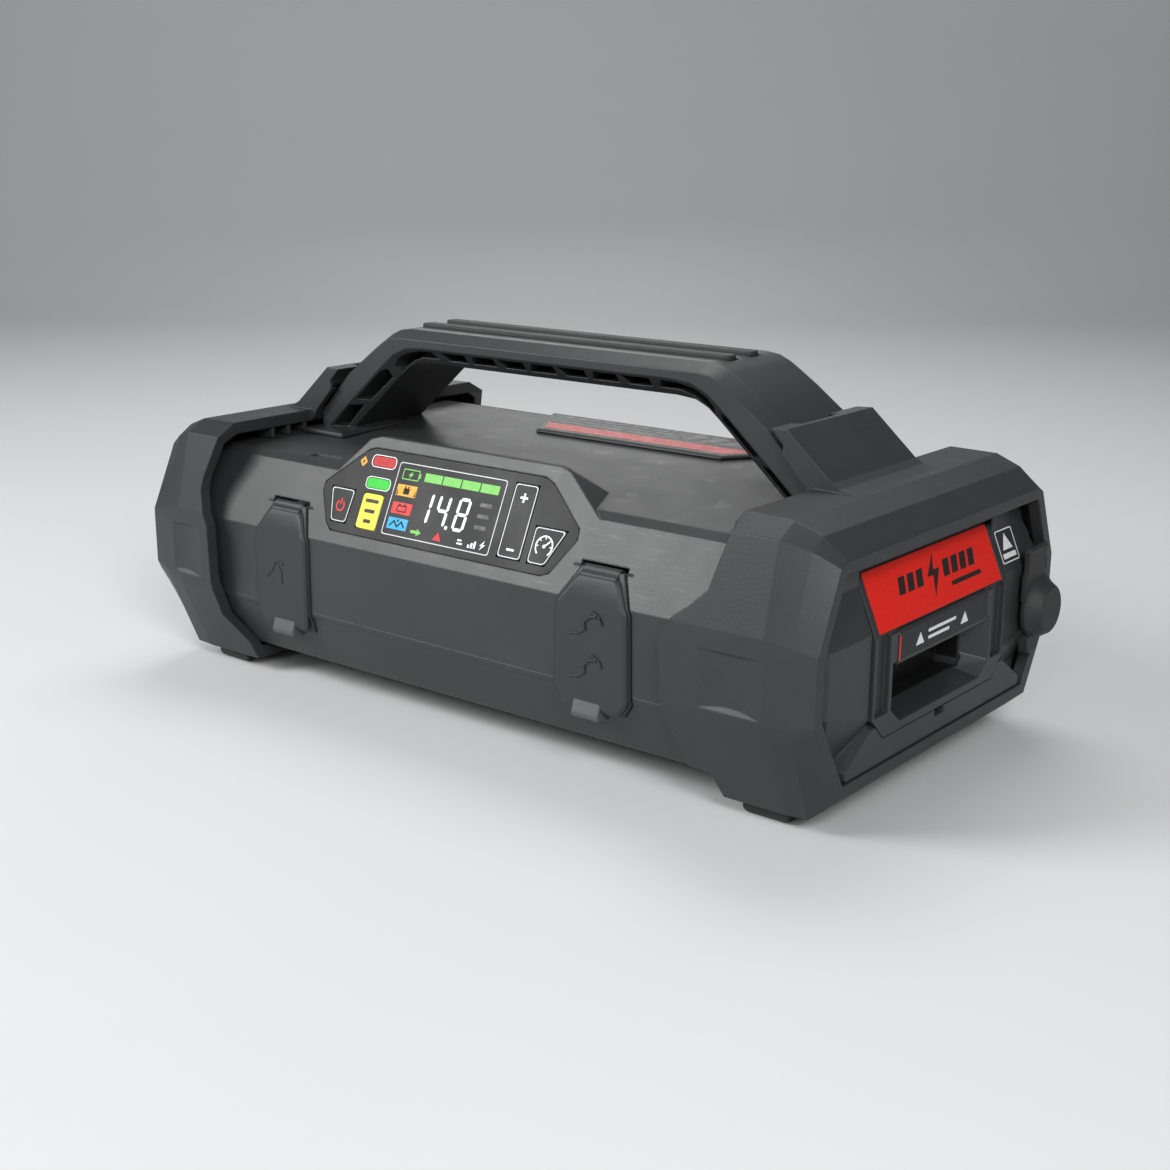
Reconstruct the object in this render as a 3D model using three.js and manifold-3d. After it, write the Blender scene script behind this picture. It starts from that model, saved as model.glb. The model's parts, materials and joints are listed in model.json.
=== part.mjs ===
// Jump starter pack: a carry-handled base unit with an air pump and a slide-out jump starter module.
// Millimetres, +Z up, +X towards the end with the pull ring, -Y towards the display.
// The origin is on the floor, under the middle of the casing.
import * as THREE from 'three';
import { ConvexGeometry } from 'three/addons/geometries/ConvexGeometry.js';
import { mergeVertices } from 'three/addons/utils/BufferGeometryUtils.js';
import Module from 'manifold-3d';

const wasm = await Module();
wasm.setup();

// ---------- driving dimensions ----------
const RIM_X = 170;            // bumper rims, either side of the middle
const BODY_END = 160;         // ends of the body tube
const WALL = 3;               // casing wall
const COLLAR = 5;             // bumper wall
const GAP = 0.3;              // clearance between neighbouring pieces
const SEAM_Z = 35.2;          // where the lower shell meets the upper shell
const FACET_TILT = THREE.MathUtils.degToRad(25);    // lean of the display facet
const FACET_Y = -83;          // lower edge of the display facet
const FACET_Z = 68.3;

const HANDLE_HALF = 27;       // half the handle's width
const HANDLE_TOP = 148;
const BAR_UNDER = 134.5;      // underside of the grip bar

const COVER_PROUD = 0.8;      // port covers stand this far off the casing
const COVER_THICK = 3;
const COVER_GAP = 0.35;       // clearance round a port cover
const HINGE_S = 12.3;         // cover hinge line, measured up the display facet
const HINGE_PIN_R = 0.5;

const MODULE_HALF = 46;       // half the width of the module's case
const FLANGE_HALF = 50;       // half the width of the module's front flange
const MODULE_BACK = -12;
const FRONT_BLOCK_X = 138;    // back of the module's front block
const FRONT_X = 169.5;        // front face of the module
const LABEL_TOP = [160, 87.5];      // sloping label face, upper edge (x, z)
const LABEL_FOOT = [FRONT_X, 65];   // and lower edge
const MODULE_FLOOR = 28;
const RING_HALF = 34;
const RING_AXIS = [167.8, 63];
const RING_R = 2;
const BOLT_HALF = 3;          // half the width of the module's lock bolt

const PORT_Y = 74.5;          // rubber-capped port on the right end
const PORT_Z = 49.5;

const PINION_TEETH = 12;
const CRANK_TEETH = 48;
const CRANK = [-89.9, 41];    // crank gear axis (x, z)
const MOTOR = [-120, 41];     // motor axis (x, z)
const THROW = -5;             // crank pin height over the crank's axis: at the bottom of its turn
const CYLINDER_Y = 14;
const BORE_R = 15.8;

// Body section (y, z), going round from the front of the lower shell.
const BODY_SECTION = [
  [FACET_Y, SEAM_Z], [FACET_Y, FACET_Z], [-70.3, 95.5], [-66.5, 98], [19, 102], [57, 102],
  [66, 100], [71, 94], [83, FACET_Z], [83, SEAM_Z], [74.5, 13.4], [68, 10], [-68, 10], [-74.5, 13.4],
];

// Bumper sections: half outlines (y, z) at stations along x, from the top edge down to the floor edge.
const BUMPER_STATIONS = [
  {
    x: 105,
    half: [[73.7, 109.3], [83.5, 103.8], [91.3, 71.5], [91.8, 66], [91.8, 42], [91, 38], [77, 6]],
  },
  {
    x: 150.5,
    half: [[74.2, 108.6], [83.3, 103.7], [91.3, 71.5], [91.8, 66], [91.8, 42], [91, 38], [77, 6]],
  },
  {
    x: 161,
    half: [[73.2, 104.8], [80, 100.5], [90, 70.4], [90.4, 66], [90.4, 42.5], [89.4, 38], [76, 6]],
  },
  {
    x: RIM_X,
    half: [[72.4, 97.6], [76.3, 95.6], [88.9, 68.4], [89, 65.6], [89, 44.6], [87.4, 41], [72, 14]],
  },
];

// Inner edges of the two bumpers, seen from the front (x, z).
const RIGHT_EDGE = [
  [130.6, 140], [130.6, 106], [131.7, 104.7], [130, 97.6], [128.5, 92.2], [126.3, 83.9], [120.3, 77.9],
  [113.4, 72.7], [110.1, 67.8], [108.5, 63.9], [109.9, 39.5], [112.6, 25.6], [114.8, 16.2],
  [124.2, 15], [127, 7], [129, 0], [180, 0], [180, 140],
];
const LEFT_EDGE = [
  [-130.6, 140], [-130.6, 103.8], [-136.8, 85.9], [-137.2, 80.5], [-134.1, 71.3], [-131.2, 66],
  [-131, 57], [-130.3, 37.2], [-131.3, 25.2], [-125.2, 19.1], [-120.3, 13.7],
  [-118, 0], [-180, 0], [-180, 140],
];

// Outline of the glossy display window, on the display facet (x, distance up the facet).
const WINDOW = [
  [-66, 5.5], [-69.3, 8.5], [-76, 21], [-76, 24.5], [-56.5, 40.6], [-53, 41.7],
  [36.5, 41.7], [41, 39.8], [58, 25], [58.4, 21], [49.8, 7], [46, 5.5],
];
const LCD = [[-37.5, 8.7], [-37.5, 37.7], [18.7, 37.7], [18.7, 8.7]];
const POWER_KEY = [[-67.4, 9.2], [-71.5, 23.4], [-57.9, 23.4], [-58.7, 9.2]];
const UNIT_KEY = [[-52.6, 8.7], [-52.6, 23.1], [-41.8, 23.1], [-41.8, 8.7]];
const PUMP_KEY = [[38.2, 9], [38.2, 23.3], [53.4, 23.3], [46.7, 9]];
const ADJUST_ROCKER = [[23.3, 9], [23.3, 38], [34.8, 38], [34.8, 9]];
const RED_LAMP = [[-53, 34.7], [-53, 38.7], [-40.5, 38.7], [-40.5, 34.7]];
const GREEN_LAMP = [[-53, 25.6], [-53, 29.6], [-40.5, 29.6], [-40.5, 25.6]];
const KEY_TRAVEL = 0.5;

// Port cover outlines, seen from the front (x, z).
const LEFT_COVER = [
  [-101.2, 80.9], [-84, 80.9], [-82.2, 79.2], [-76.6, 66.5], [-77.2, 27.4], [-104, 27.4],
  [-109, 35], [-108.8, 66.5],
];
const RIGHT_COVER = [
  [65.2, 80.9], [82, 80.9], [83.6, 79.6], [90, 66.5], [90.4, 33], [86, 27.4],
  [60.5, 27.4], [55.6, 35], [56.4, 66.5],
];
const LEFT_BARREL = [-101, -84.2];
const RIGHT_BARREL = [65.4, 81.8];
const PIN_OVERHANG = 5;       // hinge pins reach this far into the casing

// ---------- materials ----------
function finish(color, roughness, metalness = 0) {
  return new THREE.MeshStandardMaterial({ color, roughness, metalness });
}

const casing = finish(0x4a4c4e, 0.55);
const bumper = finish(0x3f4143, 0.62);
const darkPlastic = finish(0x26272a, 0.5);
const rubber = finish(0x303234, 0.8);
const red = finish(0xc8281f, 0.45);
const black = finish(0x101112, 0.4);
const glass = finish(0x17181b, 0.12);
const yellow = finish(0xe8dc3c, 0.5);
const lampRed = finish(0xe03030, 0.3);
const lampGreen = finish(0x30d050, 0.3);
const steel = finish(0xb0b4b8, 0.35, 0.9);
const aluminium = finish(0xc4c7ca, 0.4, 0.8);
const board = finish(0x1f5a35, 0.6);
const cellWrap = finish(0x2b5fa8, 0.5);
const nylon = finish(0xe6e2d4, 0.5);

// ---------- helpers ----------
const pack = new THREE.Group();

/** Turns a closed three.js geometry into a solid that can be cut and joined. */
function solid(geometry) {
  const bare = geometry.index ? geometry.toNonIndexed() : geometry.clone();
  bare.deleteAttribute('normal');
  bare.deleteAttribute('uv');
  const merged = mergeVertices(bare, 1e-4);
  const vertProperties = new Float32Array(merged.attributes.position.array);
  const triVerts = new Uint32Array(merged.index.array);
  return new wasm.Manifold(new wasm.Mesh({ numProp: 3, vertProperties, triVerts }));
}

/** Adds a solid to the pack as a named mesh. */
function addPart(name, shape, material) {
  const { vertProperties, triVerts } = shape.getMesh();
  const geometry = new THREE.BufferGeometry();
  geometry.setAttribute('position', new THREE.BufferAttribute(vertProperties, 3));
  geometry.setIndex(new THREE.BufferAttribute(triVerts, 1));
  geometry.computeVertexNormals();
  const mesh = new THREE.Mesh(geometry, material);
  mesh.name = name;
  pack.add(mesh);
}

const joinAll = (solids) => solids.reduce((whole, next) => whole.add(next));
const cutAll = (base, cutters) => cutters.reduce((rest, next) => rest.subtract(next), base);

const X = new THREE.Vector3(1, 0, 0);
const Y = new THREE.Vector3(0, 1, 0);
const Z = new THREE.Vector3(0, 0, 1);
const UP_FACET = new THREE.Vector3(0, Math.sin(FACET_TILT), Math.cos(FACET_TILT));
const OFF_FACET = new THREE.Vector3(0, -Math.cos(FACET_TILT), Math.sin(FACET_TILT));

/** Extrudes an outline by depth, in the frame of the axes (across, up, along) at a place. */
function extrude(outline, depth, across, up, along, place) {
  const corners = outline instanceof THREE.Shape ? [] : outline.map(([u, v]) => new THREE.Vector2(u, v));
  const shape = outline instanceof THREE.Shape ? outline : new THREE.Shape(corners);
  const geometry = new THREE.ExtrudeGeometry(shape, { depth, bevelEnabled: false, curveSegments: 4 });
  geometry.applyMatrix4(new THREE.Matrix4().makeBasis(across, up, along).setPosition(place));
  return solid(geometry);
}

/** Outline (y, z) extruded between two x. */
function prismX(outline, x0, x1) {
  const start = Math.min(x0, x1);
  return extrude(outline, Math.abs(x1 - x0), Y, Z, X, new THREE.Vector3(start, 0, 0));
}

/** Outline (x, z) extruded between two y. */
function prismY(outline, y0, y1) {
  const start = Math.max(y0, y1);
  return extrude(outline, Math.abs(y1 - y0), X, Z, Y.clone().negate(), new THREE.Vector3(0, start, 0));
}

/** Outline (x, y) extruded between two z. */
function prismZ(outline, z0, z1) {
  return extrude(outline, z1 - z0, X, Y, Z, new THREE.Vector3(0, 0, z0));
}

/** Outline on the display facet (x, distance up it), extruded between two heights off the facet. */
function prismFacet(outline, n0, n1) {
  const place = facetPoint(0, 0, n0);
  return extrude(outline, n1 - n0, X, UP_FACET, OFF_FACET, place);
}

/** The point at x, s up the display facet and n off it. */
function facetPoint(x, s, n) {
  return new THREE.Vector3(x, FACET_Y, FACET_Z).addScaledVector(UP_FACET, s).addScaledVector(OFF_FACET, n);
}

/** Axis-aligned block between two corners. */
function block(x0, x1, y0, y1, z0, z1) {
  const geometry = new THREE.BoxGeometry(x1 - x0, y1 - y0, z1 - z0);
  geometry.translate((x0 + x1) / 2, (y0 + y1) / 2, (z0 + z1) / 2);
  return solid(geometry);
}

/** Round bar along an axis ('x', 'y' or 'z') between two positions on it. */
function bar(axis, radius, from, to, a, b, sides = 20) {
  const geometry = new THREE.CylinderGeometry(radius, radius, to - from, sides);
  const middle = (from + to) / 2;
  if (axis === 'x') geometry.rotateZ(-Math.PI / 2).translate(middle, a, b);
  if (axis === 'y') geometry.translate(a, middle, b);
  if (axis === 'z') geometry.rotateX(Math.PI / 2).translate(a, b, middle);
  return solid(geometry);
}

/** Convex solid around a set of points. */
function hull(points) {
  return solid(new ConvexGeometry(points.map(([x, y, z]) => new THREE.Vector3(x, y, z))));
}

/** Moves each edge of a convex outline outwards by distance (inwards if negative). */
function offset(outline, distance) {
  const area = outline.reduce((sum, [u, v], i) => {
    const [p, q] = outline[(i + 1) % outline.length];
    return sum + u * q - p * v;
  }, 0);
  const shift = area > 0 ? distance : -distance;
  const edges = outline.map((a, i) => {
    const b = outline[(i + 1) % outline.length];
    const length = Math.hypot(b[0] - a[0], b[1] - a[1]);
    const normal = [(b[1] - a[1]) / length, -(b[0] - a[0]) / length];
    return { normal, reach: normal[0] * a[0] + normal[1] * a[1] + shift };
  });
  return edges.map((next, i) => {
    const last = edges[(i + edges.length - 1) % edges.length];
    const cross = last.normal[0] * next.normal[1] - last.normal[1] * next.normal[0];
    const u = (last.reach * next.normal[1] - next.reach * last.normal[1]) / cross;
    const v = (last.normal[0] * next.reach - next.normal[0] * last.reach) / cross;
    return [u, v];
  });
}

/** Closed outline with its corners rounded. */
function rounded(outline, radius) {
  const shape = new THREE.Shape();
  outline.forEach((corner, i) => {
    const before = outline[(i + outline.length - 1) % outline.length];
    const after = outline[(i + 1) % outline.length];
    const towards = (end) => {
      const length = Math.hypot(end[0] - corner[0], end[1] - corner[1]);
      const part = Math.min(radius, length * 0.45) / length;
      return [corner[0] + (end[0] - corner[0]) * part, corner[1] + (end[1] - corner[1]) * part];
    };
    const enter = towards(before);
    const leave = towards(after);
    if (i === 0) shape.moveTo(...enter);
    else shape.lineTo(...enter);
    shape.quadraticCurveTo(...corner, ...leave);
  });
  shape.closePath();
  return shape;
}

const mirrored = (half) => [...half, ...half.map(([u, v]) => [-u, v]).reverse()];

// ---------- casing ----------
/** The display hump above the front top edge; inner is true for its hollow. */
function hump(inner) {
  const d = inner ? WALL : 0;
  const face = [
    [-76.5, 24], [-57.5 + d * 0.8, 45.2 - d], [-52 + d * 0.6, 46.8 - d], [42.5 - d * 0.6, 46.8 - d],
    [47.5 - d * 0.8, 45.2 - d], [66 - d, 30], [72 - d, 24],
  ].map(([x, s]) => facetPoint(x + (x < -60 ? d : 0), s, -d).toArray());
  const back = [
    [-51 + d, -59.5 - d * 0.4, 110.4 - d * 1.3],
    [41 - d, -59.5 - d * 0.4, 110.4 - d * 1.3],
    [-70 + d, -45 - d, 98.6 - d * 0.6],
    [51 - d, -45 - d, 98.6 - d * 0.6],
    [-70 + d, -56, 90],
    [51 - d, -56, 90],
  ];
  return hull([...face, ...back]);
}

/** Skin of the body tube between two depths under its outer face. */
function skin(outer, inner, x0, x1) {
  const room = prismX(offset(BODY_SECTION, inner), x0 - 1, x1 + 1);
  return prismX(offset(BODY_SECTION, outer), x0, x1).subtract(room);
}

function casingTube() {
  const outside = prismX(BODY_SECTION, -BODY_END, BODY_END).add(hump(false));
  const inside = prismX(offset(BODY_SECTION, -WALL), -BODY_END - 1, BODY_END + 1).add(hump(true));
  return outside.subtract(inside);
}

const SCREW_PLACES = [[-40, -60], [110, -60], [-40, 60], [110, 60]];
const POST_R = 4.2;
const tube = casingTube();
const hingeLine = facetPoint(0, HINGE_S, COVER_PROUD - COVER_THICK / 2);

/** Opening in the casing for a port cover. */
const coverCut = (outline) => prismY(offset(outline, COVER_GAP), -100, -60);

function upperShell() {
  const posts = SCREW_PLACES.map(([x, y]) => {
    const wall = Math.sign(y) * 81;
    const web = block(x - 1.5, x + 1.5, Math.min(y, wall), Math.max(y, wall), 40, 64);
    return bar('z', POST_R, 30, 64, x, y, 16).add(web);
  });
  const screwHoles = SCREW_PLACES.map(([x, y]) => bar('z', 1.65, 20, 50, x, y, 12));
  const hingeRoom = ([from, to]) => {
    const sides = [[from - 2.2, 76.5], [from - 2.2, 81.4], [to + 2.8, 81.4], [to + 2.8, 76.5]];
    return prismY(sides, -100, -60);
  };
  const pinCut = ([from, to]) => {
    const reach = PIN_OVERHANG + GAP;
    return bar('x', HINGE_PIN_R + 0.08, from - reach, to + reach, hingeLine.y, hingeLine.z, 12);
  };
  const slotOutline = [[-94, -65.5], [-94, -60.5], [-77, -60.5], [-77, -65.5]];
  const statusSlot = prismZ(rounded(slotOutline, 1.5), 97.2, 105);
  const backGroove = prismZ([[-112, 56.5], [-112, 59], [-64, 59], [-64, 56.5]], 101.2, 105);
  const shell = tube.intersect(block(-200, 200, -120, 120, SEAM_Z + GAP / 2, 200));
  return cutAll(joinAll([shell, ...posts]), [
    ...screwHoles,
    coverCut(LEFT_COVER),
    coverCut(RIGHT_COVER),
    hingeRoom(LEFT_BARREL),
    hingeRoom(RIGHT_BARREL),
    pinCut(LEFT_BARREL),
    pinCut(RIGHT_BARREL),
    prismFacet(offset(WINDOW, 0.25), -2.2, 3),
    prismFacet(offset(WINDOW, -2.5), -6, 3),
    prismFacet(offset(POWER_KEY, 0.4), -6, 3),
    statusSlot,
    backGroove,
  ]);
}

function lowerShell() {
  const shell = tube.intersect(block(-200, 200, -120, 120, 0, SEAM_Z - GAP / 2));
  const bosses = SCREW_PLACES.map(([x, y]) => bar('z', 6, 11, 29.7, x, y, 16));
  const bores = SCREW_PLACES.map(([x, y]) => {
    const headRoom = bar('z', 4.2, 5, 16, x, y, 16);
    return bar('z', 2.1, 5, 40, x, y, 12).add(headRoom);
  });
  return cutAll(joinAll([shell, ...bosses]), [...bores, coverCut(LEFT_COVER), coverCut(RIGHT_COVER)]);
}

// ---------- bumpers ----------
/** Smooth-sided solid through matching outlines across x (lists of 3-D points), with flat ends. */
function loft(rings) {
  const ACROSS = 4;
  const ALONG = 4;
  const positions = [];
  const triangle = (...corners) => corners.forEach((corner) => positions.push(...corner));
  const between = (p, q, t) => p.map((value, i) => value + (q[i] - value) * t);
  const onEdge = (ring, edge, step) => between(ring[edge], ring[(edge + 1) % ring.length], step / ACROSS);
  rings.slice(1).forEach((next, i) => {
    const last = rings[i];
    const rows = i === 0 ? 1 : ALONG;
    for (let edge = 0; edge < last.length; edge += 1) {
      for (let k = 0; k < ACROSS; k += 1) {
        for (let row = 0; row < rows; row += 1) {
          const at = (step, line) => between(onEdge(last, edge, step), onEdge(next, edge, step), line / rows);
          triangle(at(k, row), at(k + 1, row + 1), at(k + 1, row));
          triangle(at(k, row), at(k, row + 1), at(k + 1, row + 1));
        }
      }
    }
  });
  const cap = (ring, flip) => {
    const middle = [ring[0][0], 0, 60];
    for (let edge = 0; edge < ring.length; edge += 1) {
      for (let k = 0; k < ACROSS; k += 1) {
        const side = [onEdge(ring, edge, k), onEdge(ring, edge, k + 1)];
        triangle(middle, ...(flip ? side.reverse() : side));
      }
    }
  };
  cap(rings[0], false);
  cap(rings[rings.length - 1], true);
  const geometry = new THREE.BufferGeometry();
  geometry.setAttribute('position', new THREE.Float32BufferAttribute(positions, 3));
  return solid(geometry);
}

/** Outside of a bumper, from its inner edge to the rim. */
function bumperSkin(side) {
  const whole = loft(BUMPER_STATIONS.map(({ x, half }) => mirrored(half).map(([y, z]) => [x, y, z])));
  const right = whole.intersect(block(105, RIM_X, -120, 120, 0, 150));
  return side > 0 ? right : right.mirror([1, 0, 0]);
}

/** Hollow of a bumper. */
function bumperRoom(side) {
  const rings = BUMPER_STATIONS.map(({ x, half }) => (
    offset(mirrored(half), -COLLAR).map(([y, z]) => [side * x, y, z])
  ));
  return hull(rings.flat()).intersect(prismX([[-100, 0], [100, 0], [100, 150], [-100, 150]],
    side * 100, side * (RIM_X - COLLAR)));
}

const SIDE_FACE = 91.8;       // half the bumpers' width
const SCOOP_DEEP = 1.2;
/** Outline of the end opening, inside the rim. */
const END_OPENING = offset(mirrored(BUMPER_STATIONS[3].half), -4.4);

const TONGUE_OUTER = [[150, 108.2], [145.5, 109], [141.5, 110.2], [138.2, 112], [118.8, 129]];
const CHEEK_Y = 30.4;         // outer faces of the tongue's cheeks, which clasp the handle leg
/** x of the handle leg's outer face at height z. */
const legOuterX = (z) => 130 - (z - 109) * 0.95;

function tongue(side) {
  const turned = (outline) => outline.map(([x, z]) => [side * x, z]);
  const plate = prismY(turned([
    [131, 105], [149, 105], ...TONGUE_OUTER, [legOuterX(128.6) + 0.6, 128.6], [130.7, 109.2],
  ]), -CHEEK_Y, CHEEK_Y);
  const cheek = turned([[129, 105], [149, 105], ...TONGUE_OUTER, [116.8, 119.5], [127, 108.8]]);
  const cheeks = prismY(cheek, -CHEEK_Y, CHEEK_Y);
  const legRoom = prismY(turned([
    [100, 104], [130.6, 104], [130.6, 109.2], [legOuterX(131) + 0.6, 131], [100, 131],
  ]), -HANDLE_HALF - 0.4, HANDLE_HALF + 0.4);
  const slot = turned([[legOuterX(131) - 3, 131], [legOuterX(113) - 3, 113], [132.2, 113], [114.2, 131]]);
  return cutAll(plate.add(cheeks), [prismY(slot, -17, 10), legRoom]);
}

/** Shallow scoop in a bumper's side: square at the top, running out at its ends and foot. */
function sideScoop(side, flip) {
  const [x0, x1, z0, z1] = side > 0 ? [124.9, 150.7, 43.2, 64.2] : [136, 159, 43, 65.2];
  const steps = [0, 1, 2, 3, 4, 5, 6, 7, 8];
  return hull(steps.flatMap((step) => {
    const x = side * (x0 + ((x1 - x0) * step) / 8);
    const bow = Math.sin((step * Math.PI) / 8);
    const floor = flip * (SIDE_FACE - SCOOP_DEEP * bow);
    const outside = flip * (SIDE_FACE + 2);
    return [[x, outside, z0], [x, outside, z1], [x, floor, z0 + 1.8 * bow], [x, floor, z1]];
  }));
}

function endBumper(side, edge) {
  const collar = bumperSkin(side)
    .intersect(prismY(edge, -120, 120))
    .subtract(bumperRoom(side))
    .subtract(prismX(END_OPENING, side * 150, side * 180));
  const ribs = [33.5, 43, 52].flatMap((y) => [-1, 1].map((flip) => {
    const [from, to] = side > 0 ? [131.2, 152] : [-152, -131.2];
    return block(from, to, flip * y - 0.9, flip * y + 0.9, 97, 106);
  }));
  const bodyRoom = prismX(offset(BODY_SECTION, 0.4), -BODY_END - 0.4, BODY_END + 0.4);
  const whole = joinAll([collar, tongue(side), ...ribs]);
  return cutAll(whole, [bodyRoom, sideScoop(side, -1), sideScoop(side, 1)]);
}

// ---------- end panels ----------
/** Faceted pillar between the rim and the end's middle; flip is -1 or 1 for the front or back one. */
function pillar(side, flip) {
  const points = [
    [168.5, 79, 44], [168.5, 79, 71], [168.5, 51.2, 67], [168.5, 51.2, 37],
    [163, 83.6, 44.6], [163, 83.6, 70],
    [162, 72, 91], [162, 51.2, 91], [162, 70, 23], [162, 66, 21],
    [160.6, 83.6, 44.6], [160.6, 83.6, 68], [160.6, 72, 91],
    [160.6, 51.2, 91], [160.6, 51.2, 30], [160.6, 69, 21],
  ];
  return hull(points.map(([x, y, z]) => [side * x, flip * y, z]));
}

const PORT_HOLE_R = 7.3;

function rightEndPanel() {
  const plate = prismX(offset(END_OPENING, -0.4), BODY_END + 0.6, 164);
  const chin = hull([-1, 1].flatMap((flip) => [
    [169.4, flip * 50.8, 33], [169.4, flip * 67, 22.4], [169.4, flip * 66.4, 18.9],
    [161, flip * 50.8, 37], [161, flip * 70, 22.4], [161, flip * 68.6, 18.9],
  ]));
  const leanBack = prismY([[169, 66], [161.8, 83], [161.8, 96], [180, 96], [180, 66]], -90, 90);
  const doorway = offset([
    [-42, 28], [42, 28], [FLANGE_HALF, 36], [FLANGE_HALF, 87.9], [-FLANGE_HALF, 87.9], [-FLANGE_HALF, 36],
  ], 0.4);
  return cutAll(joinAll([plate, chin, pillar(1, -1), pillar(1, 1)]), [
    leanBack,
    prismX(doorway, 150, 180),
    block(150, 180, -BOLT_HALF - 0.7, BOLT_HALF + 0.7, 25, 30),
    bar('x', PORT_HOLE_R, 150, 180, PORT_Y, PORT_Z, 24),
  ]);
}

const GRILLE_X = 174.5;

function leftEndPanel() {
  const plate = prismX(offset(END_OPENING, -0.4), -BODY_END - 0.6, -164);
  const outline = [[-44, 34], [44, 34], [48, 40], [48, 82], [42, 88], [-42, 88], [-48, 82], [-48, 40]];
  const frame = prismX(rounded(outline, 3), -BODY_END - 0.6, -GRILLE_X);
  const slots = [0, 1, 2, 3, 4, 5].map((i) => {
    const z = 43 + i * 7;
    return hull([[-150, z - 2], [-150, z + 1.4], [-180, z + 1.5], [-180, z + 5]].flatMap(([x, low]) => (
      [[x, -40, low], [x, 40, low]]
    )));
  });
  return cutAll(joinAll([plate, frame, pillar(-1, -1), pillar(-1, 1)]), slots);
}

function foot(side, flip) {
  const low = [[133.5, 53.5], [149.5, 53.5], [149.5, 71], [133.5, 71]];
  const high = [[132, 52], [151, 52], [151, 72.5], [132, 72.5]];
  const ring = (outline, z) => outline.map(([x, y]) => [side * x, flip * y, z]);
  return hull([...ring(low, 0), ...ring(high, 1.6), ...ring(high, 6 - GAP)]);
}

// ---------- handle ----------
// Right half of the handle's outline (x, z): outside of the leg and bar, and the hand opening.
const HANDLE_OUTER = [
  [129.8, 94], [129.8, 109.2], [111, 129], [98, 138.5], [88, 145], [83, 147.2], [77, HANDLE_TOP],
];
const HAND_OPENING = [[121.5, 94], [83.7, 126.8], [78.3, 131.1], [72.5, 133.7], [64, BAR_UNDER]];
const EDGE_FLAT = 20;         // half-width of the flat along the top of the handle, between its chamfers
const EDGE_DROP = 3.2;
const BAND_WIDE = 7;          // lattice band round the opening
const BAND_Y = 21;            // half-width of the handle at the opening
const POCKET_DEEP = 17;

// Pockets of the lattice on the right half (x, z); the bar's own row is built by latticeRow.
const LEG_POCKETS = [
  [[103.6, 113.2], [110.2, 112.6], [121, 102.4], [115, 102.2]],
  [[86.2, 126.9], [86.6, 130.6], [90.2, 129.4], [105.6, 115.9], [100, 115.5]],
  [[59.5, 140.3], [68, 139.8], [75.2, 138.2], [80.3, 135.6], [83.4, 131.9], [81.4, 129.2], [78.2, 132],
    [73, 135.2], [67.5, 137], [57.5, 137.2]],
];

function latticeRow() {
  return [-3, -2, -1, 0, 1, 2, 3].map((i) => {
    const x = i * 15.8;
    const [top, foot] = i % 2 ? [7, 4.6] : [4.6, 7];
    return [[x - top, 140.3], [x + 6.6, 140.3], [x + 6.6, 136.9], [x - foot, 136.9]];
  });
}

const atY = (outline, y) => outline.map(([x, z]) => [x, y, z]);

function handleFrame() {
  const outer = mirrored(HANDLE_OUTER);
  const opening = mirrored(HAND_OPENING);
  const inset = offset(outer, -EDGE_DROP);
  const body = hull([-1, 1].flatMap((s) => [...atY(outer, s * EDGE_FLAT), ...atY(inset, s * HANDLE_HALF)]))
    .add(prismY([[-129.8, 94], [-129.8, 98], [129.8, 98], [129.8, 94]], -HANDLE_HALF, HANDLE_HALF))
    .subtract(prismY(opening, -40, 40));
  const bandCuts = [-1, 1].map((s) => hull([
    ...atY(offset(opening, BAND_WIDE), s * (HANDLE_HALF + 0.01)), ...atY(opening, s * BAND_Y),
  ]));
  const plinth = hull([[-129.8, -36], [-129.8, 12], [-105, -36], [-105, 12]].flatMap(([x, y]) => [
    [x, y, 94], [x, y, 101], [x + (x < -120 ? 0 : -0.8), y * 0.98, 101.8],
  ]));
  const otherLeg = LEG_POCKETS.map((pocket) => pocket.map(([x, z]) => [-x, z]));
  const pockets = [...LEG_POCKETS, ...otherLeg, ...latticeRow()];
  const cuts = pockets.flatMap((pocket) => [
    prismY(pocket, -40, POCKET_DEEP - HANDLE_HALF), prismY(pocket, HANDLE_HALF - POCKET_DEEP, 40),
  ]);
  const stripSeats = [-11.4, 3.6].map((y) => block(-80.5, 80.5, y, y + 7.8, HANDLE_TOP - 1.5, 160));
  return cutAll(cutAll(body, bandCuts).add(plinth), [
    ...cuts, ...stripSeats, prismX(offset(BODY_SECTION, 0.3), -BODY_END, BODY_END),
  ]);
}

function gripStrip(s) {
  const y0 = Math.min(s * 4, s * 11);
  const outline = [[-80, y0], [80, y0], [80, y0 + 7], [-80, y0 + 7]];
  return prismZ(rounded(outline, 3), HANDLE_TOP - 1.2, HANDLE_TOP + 1.5);
}

/** Raised plate on top of the casing, under the handle. */
function topLabel() {
  const outline = [[-41, 19.5], [57, 19.5], [84, 56], [-62, 56]];
  const ring = (points, z) => points.map(([x, y]) => [x, y, z]);
  return hull([...ring(outline, 102.3), ...ring(outline, 102.9), ...ring(offset(outline, -1), 103.8)]);
}

// ---------- display ----------
function displayWindow() {
  const holes = [POWER_KEY, UNIT_KEY, PUMP_KEY, ADJUST_ROCKER, RED_LAMP, GREEN_LAMP]
    .map((outline) => prismFacet(offset(outline, GAP), -4, 2));
  return cutAll(prismFacet(rounded(WINDOW, 2), -1.9, -0.1), holes);
}

const keycap = (outline) => prismFacet(rounded(outline, 1.5), -6.6, 0);

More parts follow.
